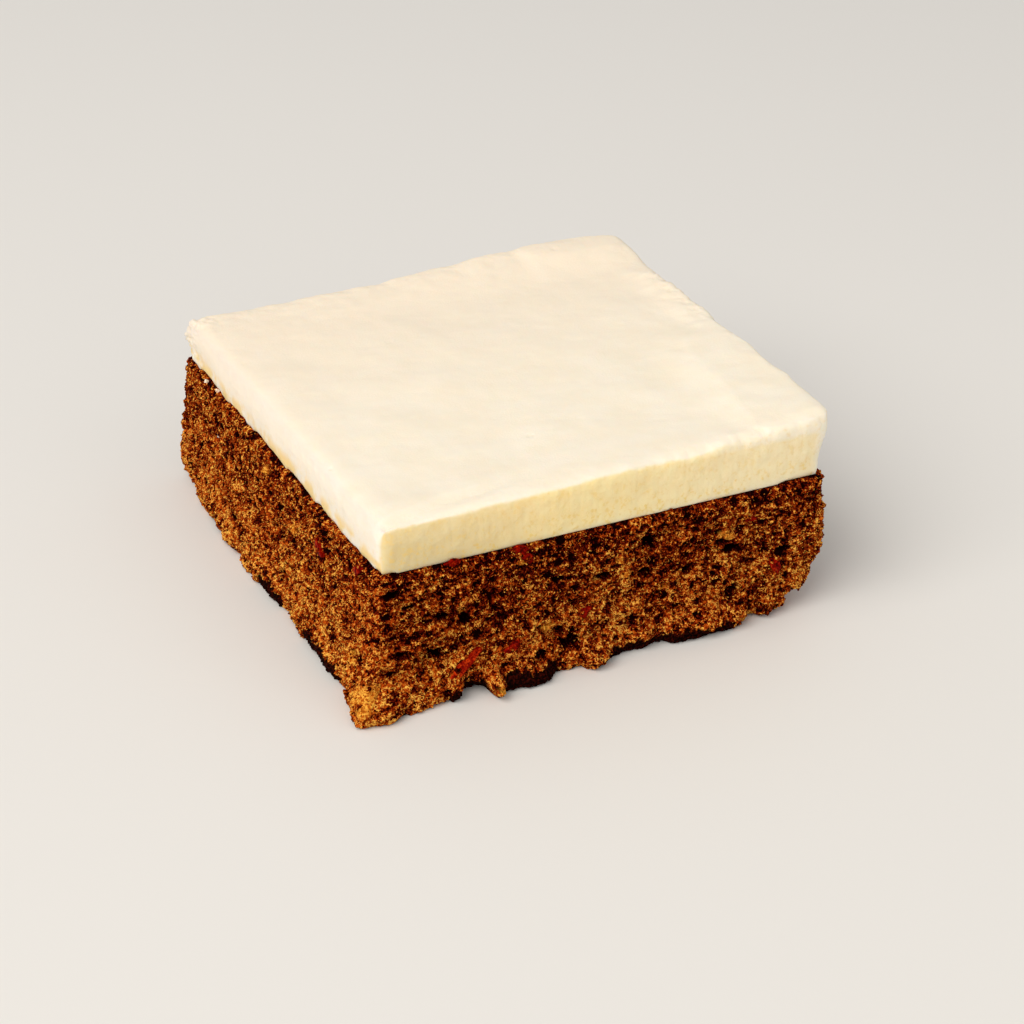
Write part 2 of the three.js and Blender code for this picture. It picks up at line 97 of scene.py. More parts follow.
# How far the foot of each face stands out: distance along the face and millimetres.
FOOT_LINE = {
    "front": (
        (0.9, 2.5), (1.7, 2.7), (2.1, 2.2), (2.8, 0.7), (4.5, 1.3), (5.5, 1.2), (6.6, 0.6), (8, 0.7),
        (10, 1.3), (10.8, 2.9), (12.2, 2.7), (13.2, 0.4), (16.3, -0.2), (17.3, -0.5), (17.8, 2.3),
        (18.8, 2.7), (19.3, 1.0), (22.3, 0.7), (24, 1.0), (26.8, 1.6), (28, 1.5), (30, 0.5), (33, 0.3),
        (34.5, -0.8), (35.2, 0.5), (37, 1.3), (38.4, 2.3), (39.7, 1.8), (42.3, 1.1), (44.2, 0.8),
        (46.7, 1.3), (49.4, -0.1), (50.8, -0.5), (52.3, 0.4), (56.8, 0.9), (58.8, 2.2), (61, 2.5),
        (63.8, 2.9), (65.8, 2.0), (68, -1.1), (69.3, -1.9), (69.9, -0.4), (73.7, 0.5), (75, 0.0),
        (76.5, -1.0), (82, -1.0),
    ),
    "left": (
        (0.9, 2.5), (1.2, 2.2), (1.7, 1.5), (2.1, 1.0), (2.5, 0.0), (3.7, 0.1), (6.7, -0.7),
        (9.3, -0.1), (11, 0.8), (12.2, 1.6), (14.5, 1.6), (17.5, 1.2), (19.9, 1.3), (22.7, 0.9),
        (24.5, 0.9), (25.5, 0.5), (27.9, -0.3), (30.7, -0.7), (33.8, -1.2), (35.8, -0.8),
        (37, 0.5), (39.1, 1.2), (41.7, 1.3), (44.7, 1.0), (47.2, 1.3), (49.9, 1.5), (53.4, 0.4),
        (55.9, -0.5), (58.1, -0.2), (61.8, 0.6), (66.3, 1.6), (70.7, 1.1), (74.4, 0.1),
        (81.9, -0.2), (87, -0.9), (91, -0.9),
    ),
    "right": ((0, -1.0), (12, 0.2), (30, 0.6), (88, 0.0)),
    "back": ((0, -0.9), (12, 0.4), (78, 0.4), (89, 0.0)),
}

# Larger holes in each face: distance along, height, half width and half height. The two faces
# at the back have the holes of the faces opposite them, the other way round.
HOLES = {
    "front": (
        (4.6, 18.5, 1.2, 0.6), (2.0, 21.5, 1.2, 0.8), (10.3, 15.5, 1.5, 0.7), (8.9, 8.5, 1.5, 1.1),
        (3.5, 10.0, 1.8, 0.8), (14.2, 14.0, 1.1, 0.9), (27.0, 4.5, 1.4, 1.0),
        (30.8, 17.5, 1.2, 0.5), (33.1, 4.8, 1.7, 1.4), (39.3, 16.0, 1.9, 0.6),
        (48.2, 20.5, 1.8, 1.1), (47.4, 14.5, 1.6, 0.8), (55.9, 12.5, 0.9, 0.8),
        (63.2, 15.5, 2.0, 0.8), (64.5, 6.5, 1.3, 1.6), (74.3, 13.0, 1.0, 0.6),
    ),
    "left": (
        (18.0, 11.5, 1.2, 0.7), (36.2, 13.5, 1.8, 1.0), (36.6, 6.5, 1.5, 1.1),
        (46.9, 18.5, 1.3, 0.9), (50.8, 11.0, 1.2, 1.2), (56.3, 6.0, 1.5, 1.0),
        (63.5, 22.0, 1.4, 0.8), (70.0, 9.5, 1.2, 0.8),
    ),
}
OPPOSITE = {"front": "front", "left": "left", "right": "left", "back": "front"}

# Patches of golden crumb, listed in the same way.
GOLDEN_PATCHES = {
    "front": (
        (-0.2, 9.0, 1.2, 1.6), (-0.6, 3.0, 1.4, 1.2), (13.4, 15.8, 0.5, 0.5), (18.5, 2.2, 0.7, 0.6),
        (24.2, 22.6, 0.7, 0.4), (28.9, 9.0, 1.3, 1.0), (42.0, 18.5, 0.8, 0.8),
        (43.4, 15.6, 0.8, 0.7), (50.7, 11.0, 0.8, 0.6), (62.7, 18.2, 1.5, 0.9),
    ),
    "left": (
        (1.5, 4.0, 1.6, 2.0), (5.3, 8.0, 1.2, 1.0), (20.2, 17.0, 1.2, 1.0), (32.8, 17.5, 1.0, 1.0),
        (47.5, 22.0, 1.4, 0.8),
    ),
}

# Kinds of loose crumb: name, points for each square millimetre, smallest and largest radius,
# how deep in the crumb they lie, and cells along the side of the bake map.
LOOSE_CRUMB = (
    ("fine_crumbs", 0.56, 0.1, 0.2, 0.9, 160),
    ("small_crumbs", 0.42, 0.16, 0.3, 0.8, 100),
    ("coarse_crumbs", 0.026, 0.35, 0.8, 0.6, 32),
)

# Carrot shreds in the cut faces: face, distance along, height, length, slope in degrees, and how
# far they stand out.
SHREDS = (
    ("front", 14.8, 4.3, 11.5, 43, 1.3),
    ("front", 24.6, 6.9, 4.6, 20, 0.85),
    ("front", 25.2, 22.9, 3.6, -40, 0.85),
    ("front", 24.4, 24.2, 3.0, -8, 0.65),
    ("front", 12.4, 24.5, 3.0, 10, 0.25),
    ("front", 37.0, 9.9, 3.0, 40, 0.8),
    ("front", 72.4, 10.2, 3.2, -60, 0.85),
    ("front", 67.8, 20.2, 3.0, 5, 0.7),
    ("left", 22.4, 19.6, 3.6, -55, 0.85),
    ("left", 7.5, 22.6, 3.2, 50, 0.7),
    ("left", 80.4, 14.7, 3.0, 20, 0.65),
)
SCATTERED_SHREDS = 10
SCATTERED_SHOWS = 0.8
SHRED_WIDTH = 1.3
SHRED_THICKNESS = 1.1
BIG_SHRED = 7.0  # a shred longer than this is brighter
SHRED_TONE = {"big": 0.75, "small": 0.5}

# Crumbs of frosting on the cut faces: face, distance along, height and radius.
CREAM_CRUMBS = (
    ("left", 72.0, 17.0, 0.4),
    ("left", 79.6, 24.8, 0.38),
    ("left", 74.4, 25.1, 0.4),
)

SKIN_THICKNESS = 0.9
SKIN_VOXEL = 0.55
SKIN_SCALE = 0.96
WORN_SIDE = 5.2  # how far the skin draws in under the worn right side

FROSTING_VOXEL = 0.56
LIP_BLURS = 26  # how often the edges of the top are eased
HIGH_CREAM = 36.2  # above this the top flattens off
FLATTENED = 0.75
FINE_BAND = 5.0  # the top is finer this close to its edges

# The cream is heaped along the back: from and to across the cake, and how much it rises there.
HEAP = (
    (-34.0, -16.0, 0.5),
    (-8.0, 2.0, 0.8),
    (9.0, 14.0, 0.5),
    (21.0, 25.5, 0.8),
    (25.0, 38.0, -1.9),
)

# ------------------------------------------------------------------ colours, light and camera

RUDDY = (0.95, 0.7, 0.6)  # multiplies the redder crumb
GOLDEN_DARK = (0.5, 0.12, 0.006)
GOLDEN_PALE = (1.0, 0.46, 0.05)
BAKED_DARK = (0.003, 0.0007, 0.0005)
BAKED_PALE = (0.06, 0.005, 0.0015)
BAKED_PORE = (0.003, 0.001, 0.001)
CARROT_DARK = (0.05, 0.001, 0.0005)
CARROT_STREAK = (0.68, 0.05, 0.004)
CREAM_STAINED = (0.8, 0.5, 0.3)
IVORY_WARM = (0.95, 0.835, 0.66)
# painted shade: the frosting darkens and yellows towards the back
FAR_PAINTED_SHADE = (0.925, 0.795, 0.625)
LEFT_PAINTED_SHADE = (0.93, 0.95, 0.975)  # painted shade: multiplies the left face, which the lamp from the left lights more
CREST_PAINTED_SHADE = (0.95, 0.945, 0.97)  # painted shade: multiplies the left edge of the top, which the lamp lights most
CUT_DEEP = (0.96, 0.74, 0.355)
CUT_SHADE = (0.8, 0.82, 0.86)  # multiplies the left end of the front cut
AMBER_STAIN = (0.87, 0.6, 0.2)
AMBER_FLECK = (0.88, 0.62, 0.18)
TABLE_COLOUR = (0.8, 0.78, 0.74)

# Lamps: name, the direction they stand in, distance, size, power and colour, in metres and watts.
LAMPS = (
    ("key", (-0.62, -0.25, 0.74), 2.0, 1.8, 35.0, (1.0, 0.95, 0.9)),
    ("fill", (0.3, -0.8, 0.5), 1.5, 1.2, 2.6, (1.0, 0.98, 0.95)),
)
STUDIO_LIGHT = 0.46
TABLE_SIZE = 6.0
CAMERA_PLACE = (-0.14581, -0.32457, 0.20807)
CAMERA_AIM = (-0.0025, -0.01081, 0.01028)
CAMERA_LENS = 77.34375
CAMERA_SENSOR = 36.0
CAMERA_CLIP = (0.01, 20.0)


# ------------------------------------------------------------------ nodes as expressions


class Wire:
    """An output socket that takes part in arithmetic; every sign adds its Math node."""

    def __init__(self, graph, socket):
        self.graph = graph
        self.socket = socket

    def __add__(self, other):
        return self.graph.math("ADD", self, other)

    __radd__ = __add__

    def __sub__(self, other):
        return self.graph.math("SUBTRACT", self, other)

    def __rsub__(self, other):
        return self.graph.math("SUBTRACT", other, self)

    def __mul__(self, other):
        return self.graph.math("MULTIPLY", self, other)

    __rmul__ = __mul__

    def __truediv__(self, other):
        return self.graph.math("DIVIDE", self, other)


class Graph:
    """A node tree of a material or of a modifier, written as expressions."""

    separate_colour = "ShaderNodeSeparateColor"

    def __init__(self, tree):
        self.tree = tree

    def node(self, kind, settings=None, inputs=None, output=0):
        """Adds a node, sets its settings first and then its sockets; returns one output."""
        made = self.tree.nodes.new(kind)
        for name, value in (settings or {}).items():
            setattr(made, name, value)
        for name, value in (inputs or {}).items():
            self.plug(made.inputs[name], value)
        return Wire(self, made.outputs[output])

    def plug(self, socket, value):
        """Links a wire to a socket, or sets its value; a colour has three numbers."""
        if isinstance(value, Wire):
            self.tree.links.new(value.socket, socket)
        elif value is not None:
            socket.default_value = (*value, 1.0) if socket.type == "RGBA" else value

    def math(self, operation, first, second=None):
        return self.node("ShaderNodeMath", {"operation": operation}, {0: first, 1: second})

    def largest(self, first, *others):
        for other in others:
            first = self.math("MAXIMUM", first, other)
        return first

    def vector(self, operation, first, second):
        return self.node("ShaderNodeVectorMath", {"operation": operation}, {0: first, 1: second})

    def scaled(self, vector, factor):
        return self.node("ShaderNodeVectorMath", {"operation": "SCALE"}, {0: vector, "Scale": factor})

    def stretched(self, vector, factors):
        return self.vector("MULTIPLY", vector, factors)

    def along(self, start, direction, distance):
        """The point a distance from start in a direction."""
        return self.vector("ADD", start, self.scaled(direction, distance))

    def parts(self, vector):
        """The three numbers of a vector."""
        return (self.node("ShaderNodeSeparateXYZ", {}, {0: vector}, axis) for axis in "XYZ")

    def step(self, value, low, high, to_low=0.0, to_high=1.0):
        """Eased step from to_low to to_high as value goes from low to high."""
        inputs = {0: value, 1: low, 2: high, 3: to_low, 4: to_high}
        return self.node("ShaderNodeMapRange", {"interpolation_type": "SMOOTHSTEP"}, inputs)

    def fall(self, value, low, high):
        """Eased step from 1 down to 0."""
        return self.step(value, low, high, 1.0, 0.0)

    def blend(self, factor, first, second):
        return self.node("ShaderNodeMix", {"data_type": "FLOAT"}, {0: factor, 2: first, 3: second})

    def noise(self, vector, scale, detail=2.0, roughness=0.5, output=0):
        inputs = {"Vector": vector, "Scale": scale, "Detail": detail, "Roughness": roughness}
        return self.node("ShaderNodeTexNoise", {}, inputs, output)

    def uneven(self, vector, scale, height, detail=2.0):
        """Noise that goes about as far below zero as above it."""
        return (self.noise(vector, scale, detail) - 0.5) * height

    def drift(self, vector, scale, detail=2.0):
        """A noise of vectors that point all ways."""
        return self.vector("SUBTRACT", self.noise(vector, scale, detail, output="Color"), (0.5,) * 3)

    def cells(self, vector, scale=1.0, feature="F1"):
        """Distance to the nearest of many scattered points."""
        settings = {"voronoi_dimensions": "3D", "feature": feature}
        return self.node("ShaderNodeTexVoronoi", settings, {"Vector": vector, "Scale": scale})

    def drawn(self, cells):
        """The number drawn for each of those points."""
        colour = Wire(self, cells.socket.node.outputs["Color"])
        return self.node(self.separate_colour, {}, {0: colour})

    def colour(self, factor, first, second, blend="MIX"):
        settings = {"data_type": "RGBA", "blend_type": blend, "clamp_factor": True}
        return self.node("ShaderNodeMix", settings, {"Factor": factor, 6: first, 7: second}, 2)


class Surface(Graph):
    """The node tree of a new material."""

    def __init__(self, name, roughness, specular):
        self.material = bpy.data.materials.new(name)
        self.material.use_nodes = True
        super().__init__(self.material.node_tree)
        self.shader = self.tree.nodes["Principled BSDF"]
        self.shader.inputs["Roughness"].default_value = roughness
        self.shader.inputs["Specular IOR Level"].default_value = specular
        self.point = self.scaled(self.node("ShaderNodeTexCoord", output="Object"), 1 / MM)

    def attribute(self, name):
        return self.node("ShaderNodeAttribute", {"attribute_name": name}, output="Fac")

    def dressed(self, body, fine, distance, strength, roughness=None):
        """The material with its colour, roughness and fine relief, whose height is in millimetres."""
        inputs = {"Strength": strength, "Distance": distance * MM, "Height": fine}
        normal = self.node("ShaderNodeBump", {}, inputs)
        for name, value in (("Base Color", body), ("Roughness", roughness), ("Normal", normal)):
            self.plug(self.shader.inputs[name], value)
        return self.material


class Shape(Graph):
    """A modifier tree with one geometry in and one out."""

    separate_colour = "FunctionNodeSeparateColor"

    def __init__(self, name):
        super().__init__(bpy.data.node_groups.new(name, "GeometryNodeTree"))
        for way in ("INPUT", "OUTPUT"):
            self.tree.interface.new_socket("Geometry", in_out=way, socket_type="NodeSocketGeometry")
        self.source = self.node("NodeGroupInput")
        self.sink = self.tree.nodes.new("NodeGroupOutput")
        self.point = self.scaled(self.node("GeometryNodeInputPosition"), 1 / MM)

    def attribute(self, name, kind="FLOAT"):
        return self.node("GeometryNodeInputNamedAttribute", {"data_type": kind}, {"Name": name})

    def store(self, geometry, name, value, kind="FLOAT", domain="POINT"):
        settings = {"data_type": kind, "domain": domain}
        inputs = {"Geometry": geometry, "Name": name, "Value": value}
        return self.node("GeometryNodeStoreNamedAttribute", settings, inputs)

    def stored(self, geometry, **values):
        """The geometry with a number for each point under each name."""
        for name, value in values.items():
            geometry = self.store(geometry, name, value)
        return geometry

    def moved(self, geometry, point):
        """The geometry with its points at a place given in millimetres."""
        inputs = {"Geometry": geometry, "Position": self.scaled(point, MM)}
        return self.node("GeometryNodeSetPosition", {}, inputs)

    def raised(self, point):
        """The same point, or the table's top below it."""
        x, y, z = self.parts(point)
        return self.node("ShaderNodeCombineXYZ", {}, {0: x, 1: y, 2: self.math("MAXIMUM", z, 0.0)})

    def solid(self, piece):
        """Another object's mesh, at its own place."""
        settings = {"transform_space": "ORIGINAL"}
        return self.node("GeometryNodeObjectInfo", settings, {"Object": piece}, "Geometry")

    def joined(self, geometries):
        made = self.tree.nodes.new("GeometryNodeJoinGeometry")
        for geometry in geometries:
            self.tree.links.new(geometry.socket, made.inputs[0])
        return Wire(self, made.outputs[0])

    def random(self, low, high, seed):
        """A number drawn for each point."""
        inputs = {2: low, 3: high, 8: seed}
        return self.node("FunctionNodeRandomValue", {"data_type": "FLOAT"}, inputs, 1)

    def random_vector(self, low, high, seed):
        inputs = {0: (low,) * 3, 1: (high,) * 3, 8: seed}
        return self.node("FunctionNodeRandomValue", {"data_type": "FLOAT_VECTOR"}, inputs, 0)

    def apply(self, piece, geometry):
        """Runs the tree on a piece and keeps the result, shaded smooth, as its mesh."""
        inputs = {"Geometry": geometry, "Shade Smooth": True}
        self.plug(self.sink.inputs[0], self.node("GeometryNodeSetShadeSmooth", {}, inputs))
        select_only(piece)
        apply_modifier(piece, "NODES", node_group=self.tree)


# ------------------------------------------------------------------ handling pieces


def deselect_all():
    bpy.ops.object.select_all(action="DESELECT")


def select_only(piece):
    deselect_all()
    piece.hide_set(False)
    piece.select_set(True)
    bpy.context.view_layer.objects.active = piece


def edit_all(piece):
    """Opens a piece for editing with all of it selected."""
    select_only(piece)
    bpy.ops.object.mode_set(mode="EDIT")
    bpy.ops.mesh.select_all(action="SELECT")


def select_faces(piece, chosen):
    """Opens a piece for editing with the chosen faces selected."""
    select_only(piece)
    bpy.ops.object.mode_set(mode="EDIT")
    bpy.ops.mesh.select_mode(type="FACE")
    bpy.ops.mesh.select_all(action="DESELECT")
    bpy.ops.object.mode_set(mode="OBJECT")
    piece.data.polygons.foreach_set("select", chosen)
    bpy.ops.object.mode_set(mode="EDIT")


def close_edit():
    bpy.ops.object.mode_set(mode="OBJECT")


def apply_modifier(piece, kind, **settings):
    """Adds a modifier to the active piece and applies it."""
    modifier = piece.modifiers.new(kind.title(), kind)
    for name, value in settings.items():
        setattr(modifier, name, value)
    bpy.ops.object.modifier_apply(modifier=modifier.name)


def copy_of_node(node, name):
    """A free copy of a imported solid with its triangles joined, ready to be shaped."""
    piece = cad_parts[node].copy()
    piece.data = piece.data.copy()
    piece.name = piece.data.name = name
    piece.parent = None
    piece.hide_viewport = piece.hide_render = False
    for key in list(piece.keys()):
        if key.startswith("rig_"):
            del piece[key]
    piece.data.materials.clear()
    bpy.context.scene.collection.objects.link(piece)
    edit_all(piece)
    bpy.ops.mesh.remove_doubles(threshold=0.002 * MM)
    close_edit()
    return piece


def remesh(piece, voxel, smoothing):
    """Rebuilds a closed piece from even voxels, then relaxes it."""
    select_only(piece)
    apply_modifier(piece, "REMESH", mode="VOXEL", voxel_size=voxel * MM)
    apply_modifier(piece, "SMOOTH", factor=0.5, iterations=smoothing)


def finish_piece(piece, name, material, node):
    """Gives a piece its name, material and body, and hides the node that it stands for."""
    piece.name = piece.data.name = name
    piece.data.materials.clear()
    piece.data.materials.append(material)
    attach(piece, "root")
    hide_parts(node)


def vertex_array(mesh):
    places = np.empty(len(mesh.vertices) * 3)
    mesh.vertices.foreach_get("co", places)
    return places.reshape(-1, 3)


def attribute_array(mesh, name):
    values = np.empty(len(mesh.vertices))
    mesh.attributes[name].data.foreach_get("value", values)
    return values


def store_array(mesh, name, values):
    """Keeps one number, or one vector, for each vertex."""
    kind, field = ("FLOAT", "value") if values.ndim == 1 else ("FLOAT_VECTOR", "vector")
    mesh.attributes.new(name, kind, "POINT").data.foreach_set(field, values.astype(float).ravel())


def remove_attributes(mesh, *names):
    for name in names:
        mesh.attributes.remove(mesh.attributes[name])


def polygon_array(mesh, field, width=1):
    values = np.empty(len(mesh.polygons) * width)
    mesh.polygons.foreach_get(field, values)
    return values.reshape(-1, width) if width > 1 else values


def face_arrays(mesh):
    """Centres, in millimetres, and normals of a mesh's faces."""
    return polygon_array(mesh, "center", 3) / MM, polygon_array(mesh, "normal", 3)


def join_uneven(pieces, scale, height):
    """Joins pieces and makes their surfaces uneven."""
    select_only(pieces[0])
    for piece in pieces[1:]:
        piece.select_set(True)
    bpy.ops.object.join()
    graph = Shape("uneven")
    place = graph.along(graph.point, graph.drift(graph.point, scale), height)
    graph.apply(pieces[0], graph.moved(graph.source, graph.raised(place)))
    return pieces[0]


# ------------------------------------------------------------------ plan of the cut


def eased(low, high, value):
    t = min(max((value - low) / (high - low), 0.0), 1.0)
    return t * t * (3 - 2 * t)


class CutFace:
    """One cut face in plan: its line, and the fan of directions that it is seen along."""

    def __init__(self, name):
        order = list(CORNERS)
        first = order.index(name)
        before, start, end, after = (CORNERS[order[(first + k) % 4]] for k in (-1, 0, 1, 2))
        self.name = name
        self.start = start
        self.length = (end - start).length
        self.level = (end - start).normalized()
        self.normal = Vector((self.level.y, -self.level.x))
        self.outward = Vector((self.normal.x, self.normal.y, 0))
        self.halves = []
        self.centres = []
        for corner, other in ((start, start - before), (end, after - end)):
            other_normal = Vector((other.y, -other.x)).normalized()
            half = self.normal.angle(other_normal) / 2
            bisector = (self.normal + other_normal).normalized()
            self.halves.append(half)
            self.centres.append(corner - bisector * (CORNER_RADIUS / math.cos(half)))
        self.straight = (self.centres[1] - self.centres[0]).length

    def measured(self, along):
        """Left and back are measured from their far end, as someone facing them would."""
        return self.length - along if self.name in ("left", "back") else along

    def columns(self, spacing):
        """Origin, direction and distance along the face of each upright line of the sheet."""
        low = -self.halves[0] * CORNER_RADIUS
        high = self.straight + self.halves[1] * CORNER_RADIUS
        count = round((high - low) / spacing)
        inset = (self.centres[0] - self.start).dot(self.level)
        made = []
        for index in range(count + 1):
            s = low + (high - low) * index / count
            turn = (min(s, 0.0) + max(s - self.straight, 0.0)) / CORNER_RADIUS
            origin = self.centres[0].lerp(self.centres[1], min(max(s / self.straight, 0.0), 1.0))
            direction = self.normal * math.cos(turn) + self.level * math.sin(turn)
            made.append((origin, direction, self.measured(inset + s)))
        return made

    def gap(self, along):
        """How high the baked skin is bare at the foot, 0 where crumb covers it."""
        return max(
            tall * eased(low - 0.6, low + 0.6, along) * (1 - eased(high - 0.6, high + 0.6, along))
            for low, high, tall in SKIN_GAPS[self.name]
        )

    def foot(self, along):
        return float(np.interp(along, *zip(*FOOT_LINE[self.name])))

    def spots(self, listed, along, height):
        """1.5 in the middle of each listed spot, 0.5 at its edge, 0 well outside it."""
        if self.name in ("right", "back"):
            along = self.length - along
        value = np.zeros(len(along))
        for middle, level, wide, tall in listed[OPPOSITE[self.name]]:
            away = np.hypot((along - middle) / wide, (height - level) / tall)
            value = np.maximum(value, 1.5 - away)
        return value

    def surface(self, target, along, height):
        """Point in millimetres where a body's skin lies on this face."""
        plan = self.start + self.level * self.measured(along)
        drop = 1 - height / SPONGE_HEIGHT
        undercut = 1 - eased(0.0, UNDERCUT_HEIGHT, height)
        left, right = CORNERS["left"].x, CORNERS["back"].x
        near, far = CORNERS["front"].y, CORNERS["left"].y
        across = (plan.x - left) / (right - left)
        deep = (plan.y - near) / (far - near)
        x = plan.x - FOOT["left"] * drop * (1 - across) + FOOT["right"] * undercut * across
        y = plan.y - FOOT["front"] * drop * (1 - deep) + FOOT["back"] * drop * deep
        start = Vector((x, y, height)) + self.outward * 8
        found, place, _, _ = target.ray_cast(start * MM, -self.outward)
        if not found:
            raise RuntimeError(f"no sponge behind {self.name} {along}")
        return place / MM


FACES = {name: CutFace(name) for name in CORNERS}


def sponge_target():
    """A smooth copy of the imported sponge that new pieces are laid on, removed afterwards."""
    target = copy_of_node("cake", "sponge_target")
    remesh(target, TARGET_VOXEL, 3)
    return target


# ------------------------------------------------------------------ crumb


def bowls(graph, point, width, height, low, high, seed):
    """Depth of the bowls that a cut leaves of one size of bubble, in millimetres."""
    shift = (seed * 3.7, seed * 7.1, seed * 1.3)
    cells = graph.vector("ADD", graph.stretched(point, (1 / width, 1 / width, 1 / height)), shift)
    distance = graph.cells(cells)
    radius = graph.math("MAXIMUM", low + graph.drawn(distance) * (high - low), 0.0)
    depth = graph.math("MAXIMUM", radius * radius - distance * distance, 0.0)
    return graph.math("SQRT", depth) * (0.5 * (width + height))


def crumb_relief(graph, base, size):
    """How far the crumb stands out of its face, and how deep its smaller pores are, in mm."""
    warped = graph.along(base, graph.drift(base, 0.8), 0.9)
    warped = graph.along(warped, graph.drift(base, 2.6, 1.0), 0.5)
    fine = bowls(graph, warped, size, 0.85 * size, 0.3, 0.8, 1) * 0.7
    small = bowls(graph, warped, 1.8 * size, 1.4 * size, 0.1, 0.72, 4) * 0.75
    middle = bowls(graph, warped, 3.6 * size, 2.3 * size, 0.0, 0.6, 2) * 0.75
    coarse = bowls(graph, warped, 7.0 * size, 3.8 * size, -0.5, 0.36, 3) * 0.9
    lumps = graph.uneven(base, 0.3, 1.4) + graph.uneven(base, 0.9, 1.1, 1.0)
    pores = graph.largest(fine, small, middle)
    return CRUMB_RISE + lumps + graph.uneven(base, 3.4, 0.3, 1.0) - coarse - pores, pores


def crumb_sheet(face, spacing, target, size):
    """The closed wedge behind one cut face, with the open crumb on its outer side."""
    columns = face.columns(spacing)
    last = len(columns) - 1
    rows = round((SHEET_HIGH - SHEET_LOW) / spacing)
    deselect_all()
    bpy.ops.mesh.primitive_grid_add(x_subdivisions=last, y_subdivisions=rows, size=1)
    piece = bpy.context.object
    mesh = piece.data
    mesh.uv_layers[0].name = "OFBake"
    flat = vertex_array(mesh)
    column = np.rint((flat[:, 0] + 0.5) * last).astype(int)
    up = flat[:, 1] + 0.5
    height = SHEET_LOW + up * (SHEET_HIGH - SHEET_LOW)
    origins, outward, along = (np.array(values)[column] for values in zip(*columns))
    mesh.vertices.foreach_set("co", (np.column_stack([origins, height]) * MM).ravel())
    store_array(mesh, "outward", np.column_stack([outward, np.zeros(len(up))]))
    store_array(mesh, "gap", np.array([face.gap(place) for _, _, place in columns])[column])
    store_array(mesh, "foot", np.array([face.foot(place) for _, _, place in columns])[column])
    store_array(mesh, "hole", face.spots(HOLES, along, height))
    store_array(mesh, "golden", face.spots(GOLDEN_PATCHES, along, height))
    carve_sheet(piece, target, size)
    store_array(piece.data, "across", column / last)
    store_array(piece.data, "up", up)
    close_wedge(piece)
    lay_out_wedge(piece.data)
    return piece


def carve_sheet(piece, target, size):
    """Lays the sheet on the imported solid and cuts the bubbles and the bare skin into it."""
    graph = Shape("crumb")
    outward = graph.attribute("outward", "FLOAT_VECTOR")
    rays = {
        "Target Geometry": graph.solid(target),
        "Source Position": graph.along(graph.node("GeometryNodeInputPosition"), outward, RAY_START * MM),
        "Ray Direction": graph.scaled(outward, -1.0),
        "Ray Length": RAY_LENGTH * MM,
    }
    hit = graph.node("GeometryNodeRaycast", {"data_type": "FLOAT"}, rays, "Hit Position")
    base = graph.scaled(hit, 1 / MM)
    x, _, height = graph.parts(base)
    plan = graph.stretched(base, (1, 1, 0.25))
    relief, pores = crumb_relief(graph, base, size)
    hollow = graph.attribute("hole") + graph.uneven(base, 1.1, 1.2)
    golden = graph.step(graph.attribute("golden") + graph.uneven(base, 1.4, 1.4), 0.35, 0.8)
    relief = relief - graph.step(hollow, 0.35, 0.85) * HOLE_DEPTH + golden * GOLDEN_RISE
    flare = graph.attribute("foot") + graph.uneven(base, 0.35, 0.8)
    flare = flare * graph.fall(height, 1.5, 6.0)
    worn = graph.step(height, 7.0, 11.0, 1.9, 0.0) + graph.uneven(base, 0.8, 2.0, 1.0)
    flare = flare - graph.step(x, 36.0, 42.0) * worn
    flare = flare - graph.step(x, 33.5, 36.0) * graph.step(height, 2.8, 4.4, 3.0, 0.0)
    ragged = graph.uneven(plan, 0.55, 2.0) + graph.uneven(plan, 2.0, 1.4, 1.0) + 0.1
    torn = graph.attribute("gap") * (1.0 + graph.uneven(plan, 0.6, 0.8) + graph.uneven(base, 1.5, 0.7))
    foot = graph.largest(ragged + torn, torn, 0.0)
    skin = graph.fall(height - foot, -0.1, 0.16)
    bare = graph.uneven(graph.stretched(base, (0.9, 0.9, 1.8)), 1.0, 1.2, 3.0) + SKIN_RISE + flare
    bare = bare + graph.uneven(base, 2.0, 1.0)
    # The crumb draws in a little right under the frosting.
    rim = graph.step(height, SPONGE_HEIGHT - 0.5, SPONGE_HEIGHT - 0.05)
    out = graph.blend(rim, graph.blend(skin, relief + flare, bare), 0.0)
    edge = graph.step(height, SHEET_LOW, SHEET_LOW + 0.4)
    edge = edge * graph.step(height, SPONGE_HEIGHT - 0.5, SPONGE_HEIGHT - 0.1, 0.16, 0.0)
    place = graph.along(graph.along(base, outward, out), graph.drift(base, 4.0, 0.0), edge)
    kept = graph.moved(graph.source, place)
    kept = graph.stored(kept, depth=0.0 - relief, pores=pores, skin=skin, golden=golden)
    graph.apply(piece, kept)


def close_wedge(piece):
    """Extrudes the rim of a sheet to the upright axis of the cake, so that it is a closed wedge."""
    select_faces(piece, np.ones(len(piece.data.polygons), bool))
    bpy.ops.mesh.region_to_loop()
    bpy.ops.mesh.extrude_edges_move()
    bpy.ops.transform.resize(value=(0, 0, 1), center_override=(0, 0, 0))
    bpy.ops.mesh.select_all(action="SELECT")
    bpy.ops.mesh.remove_doubles(threshold=0.001 * MM)
    bpy.ops.mesh.normals_make_consistent(inside=False)
    close_edit()


